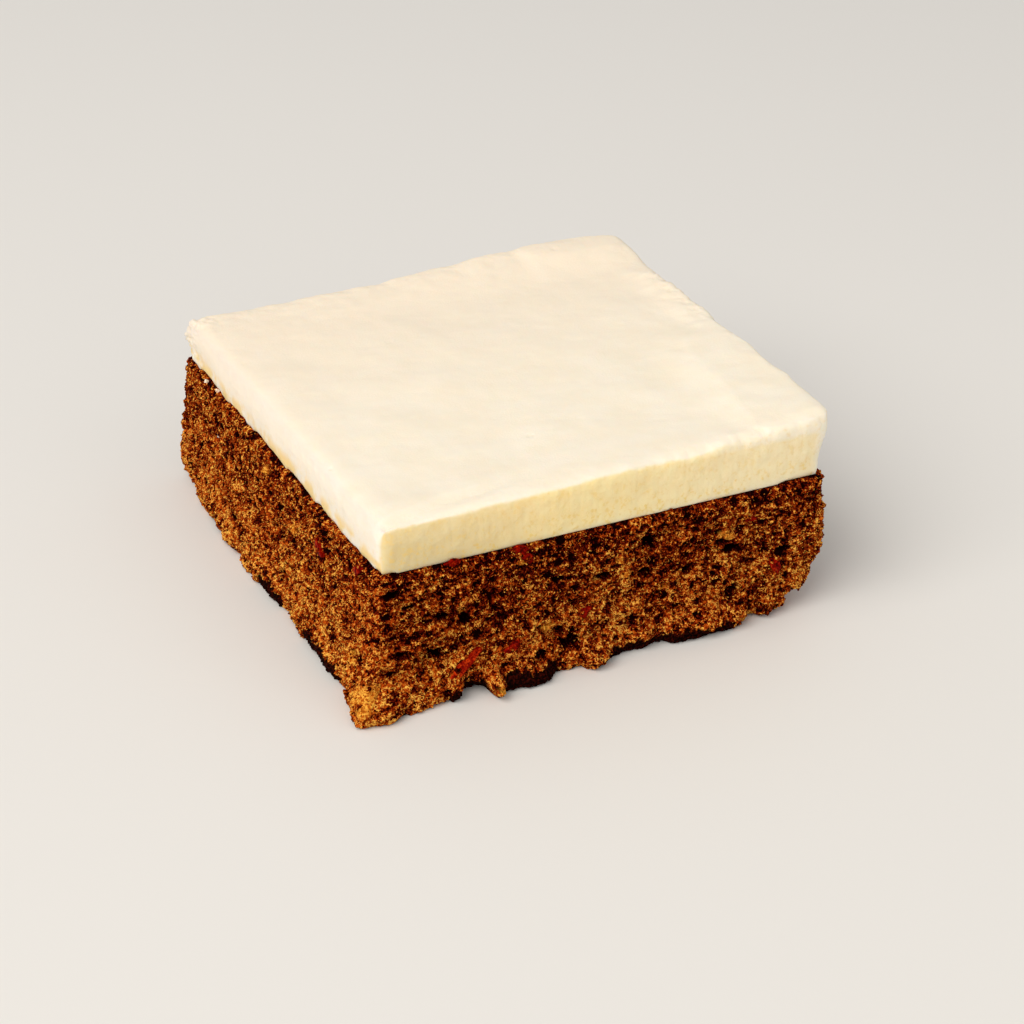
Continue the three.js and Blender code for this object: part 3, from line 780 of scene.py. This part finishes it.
def lay_out_wedge(mesh):
    """Gives the crumb most of the bake map, and the hidden inner faces a strip of it."""
    corners = np.empty(len(mesh.loops), int)
    mesh.loops.foreach_get("vertex_index", corners)
    starts = polygon_array(mesh, "loop_start").astype(int)
    totals = polygon_array(mesh, "loop_total").astype(int)
    across, up = (attribute_array(mesh, name)[corners] for name in ("across", "up"))
    on_axis = np.abs(vertex_array(mesh)[:, :2]).max(1) < 0.01 * MM
    inner = on_axis[corners]
    hidden = np.repeat(np.maximum.reduceat(inner, starts), totals)
    end = hidden & (np.abs(across - 0.5) > 0.4999)
    u = np.where(end, up, across)
    v = np.where(hidden, MAP_SHARE + (1 - MAP_SHARE) * (0.15 + 0.7 * inner), MAP_SHARE * up)
    mesh.uv_layers["OFBake"].uv.foreach_set("vector", np.column_stack([u, v]).ravel())
    depth = attribute_array(mesh, "depth")
    depth[on_axis] = HIDDEN_DEPTH
    mesh.attributes["depth"].data.foreach_set("value", depth)
    remove_attributes(mesh, "across", "up", "outward", "gap", "foot", "hole")


def granular(graph, settings, level):
    """Colour and fine height of open crumb, with painted shade in its pores and painted glints on its
    rims; level is about 0 in dark pores and 1 on pale rims.
    """
    point = graph.point
    warped = graph.along(point, graph.drift(point, 1.7, 1.0), 0.9)
    # The thin rims of the cells and the sparse dots are painted glints, shown only where the crumb is
    # not in painted shade.
    rim = graph.fall(graph.cells(warped, 1.6, "DISTANCE_TO_EDGE"), 0.02, 0.15)
    painted_rim_glint = rim * graph.step(graph.noise(point, 1.2, 1.0), 0.44, 0.56)
    grain = graph.cells(warped, 2.6)
    dot = graph.fall(grain, 0.18, 0.4) * graph.step(graph.drawn(grain), 0.8, 0.86)
    speck = graph.noise(warped, 2.5, 1.5, 0.65)
    level = level + graph.uneven(point, 0.75, 1.0)
    shown = graph.step(level, -0.15, 0.45, 0.1, 1.0)
    tone = level + (painted_rim_glint * 0.9 + dot * 1.9) * shown + (speck - 0.5) * 2.5
    # The colours run from painted shade down in the pores to painted glints on the palest grains.
    body = graph.colour(graph.step(tone, 0.0, 0.3), settings.pore, settings.deep)
    body = graph.colour(graph.step(tone, 0.25, 0.55), body, settings.crumb)
    body = graph.colour(graph.step(tone, 0.5, 0.85), body, settings.ridge)
    body = graph.colour(graph.step(tone, 0.9, 1.3), body, settings.painted_glint)
    return body, speck + painted_rim_glint * 0.4 + dot * 0.4


def crumb_material(settings):
    graph = Surface("crumb", 0.75, 0.01)
    point = graph.point
    x, y, z = graph.parts(point)
    names = ("depth", "pores", "skin", "golden")
    depth, pores, skin, golden = (graph.attribute(name) for name in names)
    # Painted shade: the crumb is darker the deeper it lies in its pores and holes.
    level = 0.26 - pores * 0.9 - depth * 0.35 + (graph.noise(point, 0.25, 3.0, 0.55) - 0.5) * 1.0
    # Painted shade: the crumb darkens towards the top, in the shadow of the frosting, and is paler
    # towards its foot.
    level = level + graph.step(z, 2.0, 24.0, 0.12, -0.14)
    # Painted light: the left face, which the lamp from the left lights more, is paler; the crumb is also
    # paler towards the right end.
    level = level + graph.step(x, -43.0, -39.0, 0.1, 0.0) + graph.step(x, 33.0, 41.0, 0.0, 0.14)
    body, fine = granular(graph, settings, level)
    # Some of the crumb is redder, and so is the near left edge.
    edge = graph.fall(x, -40.0, -33.0) * graph.fall(y, -44.0, -36.0) * graph.step(z, 7.0, 13.0)
    ruddy = graph.largest(graph.step(graph.noise(point, 0.12), 0.46, 0.62), edge)
    body = graph.colour(ruddy * 0.6, body, RUDDY, "MULTIPLY")
    warm = graph.colour(graph.step(fine, 0.4, 0.8), GOLDEN_DARK, GOLDEN_PALE)
    body = graph.colour(golden * 0.6, body, warm)
    speck = graph.noise(point, 2.4, 2.0, 0.6)
    baked = graph.colour(graph.step(speck, 0.42, 0.75), BAKED_DARK, BAKED_PALE)
    body = graph.colour(skin, body, baked)
    return graph.dressed(body, fine, 0.2, 1.0, graph.blend(skin, 0.8, 0.65))


class CAKE_OT_crumb(bpy.types.Operator):
    """Make the open crumb of the four cut faces"""

    bl_idname = "cake.crumb"
    bl_label = "Crumb"

    def execute(self, context):
        settings = context.scene.cake_settings
        spacing = settings.spacing / MM * 1.0
        target = sponge_target()
        material = crumb_material(settings)
        for name, face in FACES.items():
            piece = crumb_sheet(face, spacing, target, settings.bubble / MM)
            finish_piece(piece, "crumb_" + name, material, "cake")
        bpy.data.objects.remove(target)
        return {"FINISHED"}


# ------------------------------------------------------------------ loose crumb


def add_grain(name):
    """One grain of unit size: an eight-sided chip, a small ball or a rounder lump."""
    deselect_all()
    if name == "fine_crumbs":
        bpy.ops.mesh.primitive_uv_sphere_add(segments=4, ring_count=2, radius=1)
    else:
        levels = 1 if name == "small_crumbs" else 2
        bpy.ops.mesh.primitive_ico_sphere_add(subdivisions=levels, radius=1)
    return bpy.context.object


def scatter_grains(piece, walls, density, low, high, limit, cells, seed):
    """Puts copies of one grain on the crumb, clear of the skin, the frosting and the table.

    Some also lie unseen on the inner faces, whose order differs a little from run to run.
    """
    graph = Shape("loose crumb")
    ground = graph.joined([graph.solid(wall) for wall in walls])
    _, _, height = graph.parts(graph.point)
    shown = graph.fall(graph.attribute("depth"), limit, limit + 0.01)
    shown = shown * graph.fall(graph.attribute("skin"), 0.3, 0.31)
    shown = shown * graph.step(height, 1.2 * high, 1.2 * high + 0.01)
    shown = shown * graph.fall(height, SPONGE_HEIGHT - 0.3, SPONGE_HEIGHT - 0.29)
    inputs = {"Mesh": ground, "Selection": shown, "Density": density / MM**2, "Seed": seed}
    points = graph.node("GeometryNodeDistributePointsOnFaces", {}, inputs, "Points")
    grow = graph.random(0.0, 1.0, seed + 1)
    size = (low + grow * grow * (high - low)) * MM
    inputs = {
        "Points": points,
        "Instance": graph.source,
        "Rotation": graph.random_vector(0.0, 6.28, seed + 2),
        "Scale": graph.scaled(graph.random_vector(0.65, 1.25, seed + 3), size),
    }
    grains = graph.node("GeometryNodeInstanceOnPoints", {}, inputs)
    grains = graph.store(grains, "tone", graph.random(0.0, 1.0, seed + 4), domain="INSTANCE")
    index = graph.node("GeometryNodeInputIndex")
    row = graph.math("FLOOR", index / cells)
    corner = graph.node("ShaderNodeCombineXYZ", {}, {0: index - row * cells, 1: row})
    grains = graph.store(grains, "cell", corner, "FLOAT_VECTOR", "INSTANCE")
    grains = graph.node("GeometryNodeRealizeInstances", {}, {"Geometry": grains})
    local = graph.scaled(graph.attribute("local", "FLOAT_VECTOR"), 0.42)
    local = graph.vector("ADD", local, (0.5,) * 3)
    place = graph.vector("ADD", graph.attribute("cell", "FLOAT_VECTOR"), local)
    grains = graph.store(grains, "OFBake", graph.scaled(place, 1 / cells), "FLOAT2", "CORNER")
    place = graph.along(graph.point, graph.drift(graph.point, 0.9 / high), 1.6 * high)
    graph.apply(piece, graph.moved(grains, graph.raised(place)))


def grain_material(settings):
    graph = Surface("loose crumb", 0.75, 0.01)
    body, fine = granular(graph, settings, 0.05 + graph.attribute("tone") * 0.45)
    return graph.dressed(body, fine, 0.2, 1.0)


class CAKE_OT_loose_crumb(bpy.types.Operator):
    """Scatter the loose crumb over the cut faces"""

    bl_idname = "cake.loose_crumb"
    bl_label = "Loose crumb"

    def execute(self, context):
        settings = context.scene.cake_settings
        walls = [bpy.data.objects["crumb_" + name] for name in FACES]
        material = grain_material(settings)
        share = settings.loose_crumb * 1.0
        for kind, (name, density, low, high, limit, cells) in enumerate(LOOSE_CRUMB):
            piece = add_grain(name)
            store_array(piece.data, "local", vertex_array(piece.data))
            for layer in list(piece.data.uv_layers):
                piece.data.uv_layers.remove(layer)
            scatter_grains(piece, walls, density * share, low, high, limit, cells, 11 + 7 * kind)
            remove_attributes(piece.data, "local", "cell")
            finish_piece(piece, name, material, "cake")
        return {"FINISHED"}


# ------------------------------------------------------------------ carrot shreds


def chance(index, salt):
    """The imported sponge's own random draws, from 0 to 1, for the shreds that are scattered."""
    whole = 2**32
    value = index * 374761393 + salt * 668265263 + 3 * 2147483647 + (202 + 20) * 1274126177
    value %= whole
    value = (value ^ (value >> 13)) * 1103515245 % whole
    value = (value ^ (value >> 16)) * 2246822519 % whole
    return (value ^ (value >> 15)) / whole


def scattered_shreds():
    """Shreds for the right and back faces, listed as the others are."""
    made = []
    for index in range(SCATTERED_SHREDS):
        along, height, length, slope = (chance(index, salt) for salt in (1, 2, 3, 4))
        face = "right" if index % 2 else "back"
        place = (6 + 74 * along, 5 + 16 * height, 3 + 3.5 * length, -60 + 120 * slope)
        made.append((face, *place, SCATTERED_SHOWS))
    return made


def add_shred(length):
    """A thin bowed strip, tapered at both ends, with its broad side up."""
    deselect_all()
    bpy.ops.mesh.primitive_cube_add(size=1)
    piece = bpy.context.object
    edit_all(piece)
    bpy.ops.mesh.subdivide(number_cuts=7)
    close_edit()
    apply_modifier(piece, "SMOOTH", iterations=3)
    places = vertex_array(piece.data)
    t = 2 * places[:, 0]
    x = places[:, 0] * length * 1.06
    y = places[:, 1] * SHRED_WIDTH * 1.2 * (1 - 0.55 * t * t) + 0.35 * (1 - t * t)
    z = places[:, 2] * SHRED_THICKNESS * 1.15 * (1 - 0.3 * t * t) - 0.25 * t * t
    piece.data.vertices.foreach_set("co", (np.column_stack([x, y, z]) * MM).ravel())
    return piece


def lay_shred(piece, target, face, along, height, slope, shows):
    """Lays a shred in its cut face: its broad side looks out and its length runs up the slope."""
    normal = face.outward
    angle = math.radians(slope)
    level = Vector((-normal.y, normal.x, 0))
    direction = level * math.cos(angle) + Vector((0, 0, 1)) * math.sin(angle)
    centre = face.surface(target, along, height) + normal * (shows - SHRED_THICKNESS / 2)
    place = Matrix((direction, normal.cross(direction), normal)).transposed().to_4x4()
    place.translation = centre * MM
    piece.data.transform(place)


def shred_material(settings):
    graph = Surface("carrot", 0.45, 0.015)
    fibre = graph.noise(graph.point, 1.3, 3.0, 0.6)
    fine = graph.noise(graph.point, 3.4, 2.0, 0.6)
    value = graph.attribute("tone") + (fibre - 0.5) * 2.2 + (fine - 0.5) * 1.4
    body = graph.colour(graph.step(value, 0.15, 0.65), CARROT_DARK, settings.carrot)
    body = graph.colour(graph.step(value, 0.65, 1.1), body, CARROT_STREAK)
    return graph.dressed(body, fine, 0.2, 0.8, graph.step(fine, 0.3, 0.7, 0.55, 0.3))


class CAKE_OT_shreds(bpy.types.Operator):
    """Lay the carrot shreds in the cut faces"""

    bl_idname = "cake.shreds"
    bl_label = "Carrot shreds"

    def execute(self, context):
        target = sponge_target()
        pieces = []
        for name, along, height, length, slope, shows in [*SHREDS, *scattered_shreds()]:
            piece = add_shred(length)
            tone = SHRED_TONE["big" if length > BIG_SHRED else "small"]
            store_array(piece.data, "tone", np.full(len(piece.data.vertices), tone))
            lay_shred(piece, target, FACES[name], along, height, slope, shows)
            pieces.append(piece)
        bpy.data.objects.remove(target)
        material = shred_material(context.scene.cake_settings)
        finish_piece(join_uneven(pieces, 1.1, 0.9), "carrot_shreds", material, "cake")
        return {"FINISHED"}


# ------------------------------------------------------------------ crumbs of frosting


class CAKE_OT_cream_crumbs(bpy.types.Operator):
    """Add the crumbs of frosting on the left cut face"""

    bl_idname = "cake.cream_crumbs"
    bl_label = "Crumbs of frosting"

    def execute(self, context):
        target = sponge_target()
        pieces = [self.crumb(target, *crumb) for crumb in CREAM_CRUMBS]
        bpy.data.objects.remove(target)
        material = self.material(context.scene.cake_settings)
        finish_piece(join_uneven(pieces, 1.9, 0.9), "cream_crumbs", material, "cake")
        return {"FINISHED"}

    def crumb(self, target, name, along, height, radius):
        """One lump half sunk in the crumb."""
        face = FACES[name]
        sunk = face.outward * (CRUMB_RISE - 0.4 * radius)
        place = (face.surface(target, along, height) + sunk) * MM
        deselect_all()
        bpy.ops.mesh.primitive_ico_sphere_add(subdivisions=4, radius=radius * MM)
        piece = bpy.context.object
        piece.data.transform(Matrix.Translation(place))
        return piece

    def material(self, settings):
        graph = Surface("cream crumbs", 0.5, 0.15)
        speck = graph.noise(graph.point, 2.2, 3.0, 0.6)
        body = graph.colour(graph.step(speck, 0.3, 0.55), CREAM_STAINED, settings.frosting)
        return graph.dressed(body, speck, 0.15, 0.7, graph.step(speck, 0.3, 0.7, 0.65, 0.4))


# ------------------------------------------------------------------ baked skin


class CAKE_OT_skin(bpy.types.Operator):
    """Make the dark baked skin underneath"""

    bl_idname = "cake.skin"
    bl_label = "Baked skin"

    def execute(self, context):
        piece = copy_of_node("cake", "skin_plate")
        edit_all(piece)
        top = (0, 0, SKIN_THICKNESS * MM)
        bpy.ops.mesh.bisect(plane_co=top, plane_no=(0, 0, 1), use_fill=True, clear_outer=True)
        bpy.ops.mesh.select_all(action="SELECT")
        bpy.ops.transform.resize(value=(SKIN_SCALE, SKIN_SCALE, 1), center_override=(0, 0, 0))
        close_edit()
        remesh(piece, SKIN_VOXEL, 2)
        graph = Shape("baked skin")
        x, _, _ = graph.parts(graph.point)
        normal = graph.node("GeometryNodeInputNormal")
        place = graph.along(graph.point, normal, graph.uneven(graph.point, 0.7, 0.35, 3.0))
        place = graph.along(place, (-1, 0, 0), graph.step(x, 26.0, 42.0, 0.0, WORN_SIDE))
        graph.apply(piece, graph.moved(graph.source, graph.raised(place)))
        finish_piece(piece, "baked_skin", self.material(), "cake")
        return {"FINISHED"}

    def material(self):
        graph = Surface("baked skin", 0.55, 0.2)
        blotch = graph.noise(graph.point, 0.35, 4.0, 0.6)
        pore = graph.noise(graph.point, 2.2, 2.0, 0.6)
        body = graph.colour(graph.step(blotch, 0.3, 0.7), BAKED_DARK, BAKED_PALE)
        body = graph.colour(graph.step(pore, 0.6, 0.72), body, BAKED_PORE)
        return graph.dressed(body, pore, 0.2, 0.7, graph.step(pore, 0.3, 0.7, 0.65, 0.42))


# ------------------------------------------------------------------ frosting


def frosting_relief(graph, point, normal):
    """Marks of spreading and cutting, outwards, in millimetres."""
    x, y, z = graph.parts(point)
    _, _, facing_up = graph.parts(normal)
    top = graph.step(facing_up, 0.5, 0.9)
    turned = {"Vector": point, "Angle": 0.35}
    swept = graph.node("ShaderNodeVectorRotate", {"rotation_type": "Z_AXIS"}, turned)
    strokes = graph.uneven(graph.stretched(swept, (0.09, 0.7, 0.3)), 1.0, 0.1, 3.0)
    spread = strokes + graph.uneven(point, 0.12, 0.6) + graph.uneven(point, 1.1, 0.12)
    spread = spread - bowls(graph, point, 2.6, 2.6, -1.7, 0.26, 5) * 0.5
    drag = graph.uneven(graph.stretched(point, (1.5, 0.3, 0.1)), 1.0, 0.2, 3.0)
    cut = drag + graph.uneven(point, 0.45, 0.35) + graph.uneven(point, 1.9, 0.12)
    # A crease runs in from the front left corner, and the rim before it rolls over the cut.
    crease = graph.math("ABSOLUTE", y - x * 0.19 + 36.1 + graph.uneven(point, 0.12, 3.0))
    crease = graph.step(crease, 0.0, 2.4, 0.5, 0.0) * graph.fall(x, -24.0, -10.0)
    away = graph.math("SQRT", (y + 45.0) * (y + 45.0) + (z - 34.2) * (z - 34.2))
    roll = graph.step(away, 0.4, 4.0, 0.5, 0.0) * graph.fall(x, -34.0, -10.0)
    # The knife tore the far left corner.
    corner = graph.fall(x, -42.0, -38.0) * graph.step(y, 38.0, 43.0)
    torn = corner * graph.uneven(graph.stretched(point, (0.5, 0.5, 1.6)), 1.0, 1.8)
    return graph.blend(top, cut, spread) + torn - roll - crease * top


def frosting_lift(graph, point):
    """How far the top is lifted, in millimetres."""
    x, y, z = graph.parts(point)
    heap = 0.0
    for start, end, rise in HEAP:
        heap = heap + graph.step(x, start, end, 0.0, rise)
    lift = (heap + graph.uneven(point, 0.22, 0.84)) * graph.step(y, 28.0, 43.0)
    right = graph.step(x, 36.0, 43.5) * graph.step(y, -16.0, -4.0) * graph.fall(y, 20.0, 34.0)
    wave = graph.uneven(point, 0.25, 2.0)
    lift = lift + right * (1.0 + wave)
    # It stands higher again along the right edge, towards the front.
    near = graph.step(x, 24.0, 40.0) * graph.fall(y, -12.0, 1.0) * graph.step(y, -45.5, -41.5)
    lift = lift + near * (2.0 + graph.step(y, -36.0, -30.0, 0.7, 0.0) + wave * 0.6)
    # The knife left a burr along the front edge.
    burr = graph.uneven(graph.stretched(point, (0.26, 0.1, 0.0)), 1.0, 1.5, 1.0)
    burr = burr + graph.uneven(graph.stretched(point, (0.7, 0.3, 0.0)), 1.0, 0.4, 1.0) - 0.1
    lift = lift + burr * graph.fall(y, -44.4, -42.0) * graph.step(x, -8.0, 18.0)
    lift = lift * graph.step(z, 28.0, 33.5)
    return lift - graph.math("MAXIMUM", z + lift - HIGH_CREAM, 0.0) * FLATTENED


def frosting_material(settings):
    graph = Surface("frosting", 0.55, 0.15)
    point = graph.point
    x, y, z = graph.parts(point)
    cut, low, left, crest = (graph.attribute(name) for name in ("cut", "low", "left", "crest"))
    cloud = graph.noise(point, 0.16, 3.0)
    mottle = graph.noise(point, 0.4, 3.0, 0.55)
    fleck = graph.noise(point, 1.3)
    ivory = graph.colour(graph.step(cloud, 0.3, 0.7), settings.frosting, IVORY_WARM)
    # Painted shade: the frosting darkens and yellows towards the back.
    ivory = graph.colour(graph.step(y, -30.0, 46.0, 0.0, 0.9), ivory, FAR_PAINTED_SHADE)
    # Painted shade: the left face, lit more by the lamp from the left, is darkened a little.
    ivory = graph.colour(left, ivory, LEFT_PAINTED_SHADE, "MULTIPLY")
    yellow = graph.colour(graph.step(mottle, 0.3, 0.7), settings.cut_frosting, CUT_DEEP)
    # It pales at its foot, round the near right corner and towards the right of the front cut.
    foot = graph.step(z, 25.3, 27.0, 0.15, 0.0)
    corner = graph.step(x, 38.2, 40.4) * graph.step(y, -41.0, -30.0, 1.0, 0.2)
    yellow = graph.colour(graph.largest(foot, corner), yellow, settings.frosting)
    yellow = graph.colour(graph.fall(x, -36.0, -4.0), yellow, CUT_SHADE, "MULTIPLY")
    pale = graph.step(z, 32.6, 34.4) * graph.step(x, 8.0, 30.0, 0.0, 0.85)
    pale = graph.largest(graph.step(x, -10.0, 36.0, 0.0, 0.35), pale)
    yellow = graph.colour(pale, yellow, settings.frosting)
    body = graph.colour(cut, ivory, yellow)
    # Painted shade: the rounded left edge of the top, which the lamp lights most, is darkened a little.
    body = graph.colour(crest, body, CREST_PAINTED_SHADE, "MULTIPLY")
    amber = graph.step(fleck * 0.6 + mottle * 0.4, 0.5, 0.66) * (cut * 0.3 + low * 0.4)
    stain = graph.step(graph.noise(point, 0.22), 0.42, 0.58) * graph.step(low, 0.5, 1.0)
    body = graph.colour(stain * (1.0 - cut) * 0.8, body, AMBER_STAIN)
    body = graph.colour(amber, body, AMBER_FLECK)
    graph.shader.inputs["Subsurface Weight"].default_value = 0.4
    graph.shader.inputs["Subsurface Radius"].default_value = (1.0, 0.8, 0.6)
    graph.shader.inputs["Subsurface Scale"].default_value = 2.5 * MM
    fine = graph.noise(point, 2.6, 3.0, 0.6)
    return graph.dressed(body, fine, 0.1, 0.5, graph.step(mottle, 0.3, 0.7, 0.55, 0.42))


class CAKE_OT_frosting(bpy.types.Operator):
    """Make the spread layer of frosting"""

    bl_idname = "cake.frosting"
    bl_label = "Frosting"

    def execute(self, context):
        piece = copy_of_node("frosting", "frosting_copy")
        remesh(piece, FROSTING_VOXEL * (1.0), 2)
        self.flatten_underside(piece)
        self.refine_edges(piece)
        self.spread(piece)
        material = frosting_material(context.scene.cake_settings)
        finish_piece(piece, "frosting_layer", material, "frosting")
        return {"FINISHED"}

    def flatten_underside(self, piece):
        """Makes one face of the side that lies on the sponge."""
        centres, normals = face_arrays(piece.data)
        select_faces(piece, (centres[:, 2] < SPONGE_HEIGHT + 0.4) & (normals[:, 2] < -0.8))
        bpy.ops.mesh.delete(type="FACE")
        bpy.ops.mesh.select_all(action="SELECT")
        bpy.ops.mesh.region_to_loop()
        bpy.ops.mesh.edge_face_add()
        close_edit()

    def refine_edges(self, piece):
        """Subdivides the sides and the edges of the top."""
        centres, normals = face_arrays(piece.data)
        low, high = (np.array(corner)[:2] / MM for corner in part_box("frosting"))
        plan = centres[:, :2]
        inset = np.minimum(plan - low, high - plan).min(1)
        near_edge = (inset < FINE_BAND) | (np.abs(normals[:, 2]) < 0.7)
        select_faces(piece, near_edge & (normals[:, 2] > -0.8))
        bpy.ops.mesh.subdivide(number_cuts=1)
        close_edit()

    def spread(self, piece):
        """Softens the edges, keeps what the colours need and adds the marks and the heap."""
        graph = Shape("frosting")
        point = graph.point
        x, y, height = graph.parts(point)
        settings = {"data_type": "FLOAT_VECTOR"}
        eased_point = graph.node("GeometryNodeBlurAttribute", settings, {0: point, 1: LIP_BLURS})
        sharp = graph.fall(x, -42.0, -38.0) * graph.step(y, 40.0, 44.0) * 0.8
        lip = graph.step(height, 26.2, 28.6) * (1.0 - sharp)
        soft = graph.along(point, graph.vector("SUBTRACT", eased_point, point), lip)
        kept = graph.moved(graph.source, soft)

        normal = graph.node("GeometryNodeInputNormal")
        facing_right, facing_back, facing_up = graph.parts(normal)
        side = graph.fall(facing_up + graph.uneven(point, 0.5, 0.5), 0.3, 0.85)
        front = graph.fall(facing_back, -0.75, -0.35)
        right = graph.step(facing_right, 0.4, 0.8)
        left = graph.fall(facing_right, -0.8, -0.4)
        kept = graph.stored(
            kept,
            cut=side * graph.largest(front, right),
            low=side * graph.fall(height, 26.0, 32.0),
            left=left,
            # The left edge of the top, which the material darkens as painted shade.
            crest=graph.fall(facing_right, -0.6, -0.1) * graph.step(facing_up, 0.1, 0.5),
        )

        relief = frosting_relief(graph, point, normal)
        keep = graph.step(height, SPONGE_HEIGHT + 0.1, SPONGE_HEIGHT + 0.9)
        # The cream sags a little over the sponge at the left.
        sag = graph.math("MAXIMUM", graph.uneven(point, 0.3, 1.3) + 0.05, 0.0) * left
        sag = sag * graph.fall(height, SPONGE_HEIGHT, SPONGE_HEIGHT + 1.8)
        place = graph.along(point, (0, 0, 1), frosting_lift(graph, point) - sag)
        place = graph.along(place, normal, relief * keep + sag * 0.3)
        # The top leans out at the near right corner.
        lean = graph.step(x, 35.0, 41.0) * graph.step(y, -36.0, -22.0, 1.2, 0.0)
        place = graph.along(place, (1, 0, 0), lean * graph.step(height, 28.5, 33.5))
        graph.apply(piece, graph.moved(kept, place))


# ------------------------------------------------------------------ table, light and camera


def softbox(name, direction, distance, size, power, colour):
    """A square soft light, shining at the cake from a direction."""
    place = Vector(direction).normalized() * distance
    bpy.ops.object.light_add(type="AREA", location=place)
    lamp = bpy.context.object
    lamp.name = name
    lamp.data.shape = "SQUARE"
    lamp.data.size = size
    lamp.data.energy = power
    lamp.data.color = colour
    lamp.rotation_euler = (-place).to_track_quat("-Z", "Y").to_euler()


class CAKE_OT_stage(bpy.types.Operator):
    """Set the pale table, the soft lights and the camera"""

    bl_idname = "cake.stage"
    bl_label = "Stage"

    def execute(self, context):
        scene = context.scene
        deselect_all()
        bpy.ops.mesh.primitive_plane_add(size=TABLE_SIZE, location=(0, 0, 0))
        floor = context.object
        floor.name = "floor"
        table = Surface("table", 0.5, 0.3)
        table.plug(table.shader.inputs["Base Color"], TABLE_COLOUR)
        floor.data.materials.append(table.material)

        for lamp in LAMPS:
            softbox(*lamp)
        scene.world = bpy.data.worlds.new("studio")
        scene.world.use_nodes = True
        background = scene.world.node_tree.nodes["Background"]
        background.inputs["Color"].default_value = (1, 1, 1, 1)
        background.inputs["Strength"].default_value = STUDIO_LIGHT

        bpy.ops.object.camera_add()
        camera = context.object
        camera.name = "camera"
        camera.data.sensor_width = CAMERA_SENSOR
        camera.data.lens = CAMERA_LENS
        camera.data.clip_start, camera.data.clip_end = CAMERA_CLIP
        camera.location = CAMERA_PLACE
        aim = Vector(CAMERA_AIM) - camera.location
        camera.rotation_euler = aim.to_track_quat("-Z", "Y").to_euler()
        scene.camera = camera
        scene.view_settings.view_transform = "Standard"
        return {"FINISHED"}


# ------------------------------------------------------------------ add-on


def colour_property(name, description, default):
    return FloatVectorProperty(
        name=name, description=description, default=default, subtype="COLOR", min=0.0, max=1.0
    )


class CakeSettings(bpy.types.PropertyGroup):
    """Sizes and colours of the slice that a user would change"""

    spacing: FloatProperty(
        name="Crumb fineness",
        description="Spacing of the points of the cut faces",
        default=0.16 * MM,
        unit="LENGTH",
    )
    bubble: FloatProperty(
        name="Bubble size",
        description="Width of the smallest bubbles in the crumb",
        default=0.6 * MM,
        unit="LENGTH",
    )
    loose_crumb: FloatProperty(
        name="Loose crumb",
        description="Share of the usual amount of loose crumb",
        default=1.0,
        subtype="FACTOR",
        min=0.0,
        max=1.0,
    )
    # The pore colour is partly painted shade: the crumb darkens to it down in its pores.
    pore: colour_property("Pores", "Colour down in the pores", (0.006, 0.0003, 0.0002))
    deep: colour_property("Deep crumb", "Colour of the shaded crumb", (0.08, 0.003, 0.0006))
    crumb: colour_property("Crumb", "Colour of the open crumb", (0.22, 0.021, 0.0018))
    ridge: colour_property("Rims", "Colour of the rims between pores", (0.52, 0.09, 0.005))
    # The colour of the palest grains is a painted glint.
    painted_glint: colour_property("Pale grains", "Colour of the palest grains", (1.0, 0.52, 0.08))
    carrot: colour_property("Carrot", "Colour of the carrot shreds", (0.24, 0.003, 0.0006))
    frosting: colour_property("Frosting", "Colour of the spread top", (0.965, 0.86, 0.705))
    cut_frosting: colour_property("Cut frosting", "Colour where the knife went", (0.99, 0.8, 0.43))


class CAKE_PT_panel(bpy.types.Panel):
    """Lists the sizes, colours and pieces of the slice"""

    bl_idname = "CAKE_PT_panel"
    bl_label = "Carrot cake slice"
    bl_space_type = "VIEW_3D"
    bl_region_type = "UI"
    bl_category = "Cake"

    def draw(self, context):
        for name in CakeSettings.__annotations__:
            self.layout.prop(context.scene.cake_settings, name)
        for operator in OPERATORS:
            self.layout.operator(operator.bl_idname)


OPERATORS = (
    CAKE_OT_crumb,
    CAKE_OT_loose_crumb,
    CAKE_OT_shreds,
    CAKE_OT_cream_crumbs,
    CAKE_OT_skin,
    CAKE_OT_frosting,
    CAKE_OT_stage,
)
CLASSES = (CakeSettings, *OPERATORS, CAKE_PT_panel)


def register():
    for cls in CLASSES:
        bpy.utils.register_class(cls)
    bpy.types.Scene.cake_settings = PointerProperty(type=CakeSettings)


def unregister():
    del bpy.types.Scene.cake_settings
    for cls in reversed(CLASSES):
        bpy.utils.unregister_class(cls)


def main():
    register()
    bpy.ops.cake.crumb()
    bpy.ops.cake.loose_crumb()
    bpy.ops.cake.shreds()
    bpy.ops.cake.cream_crumbs()
    bpy.ops.cake.skin()
    bpy.ops.cake.frosting()
    bpy.ops.cake.stage()


if __name__ == "__main__":
    main()
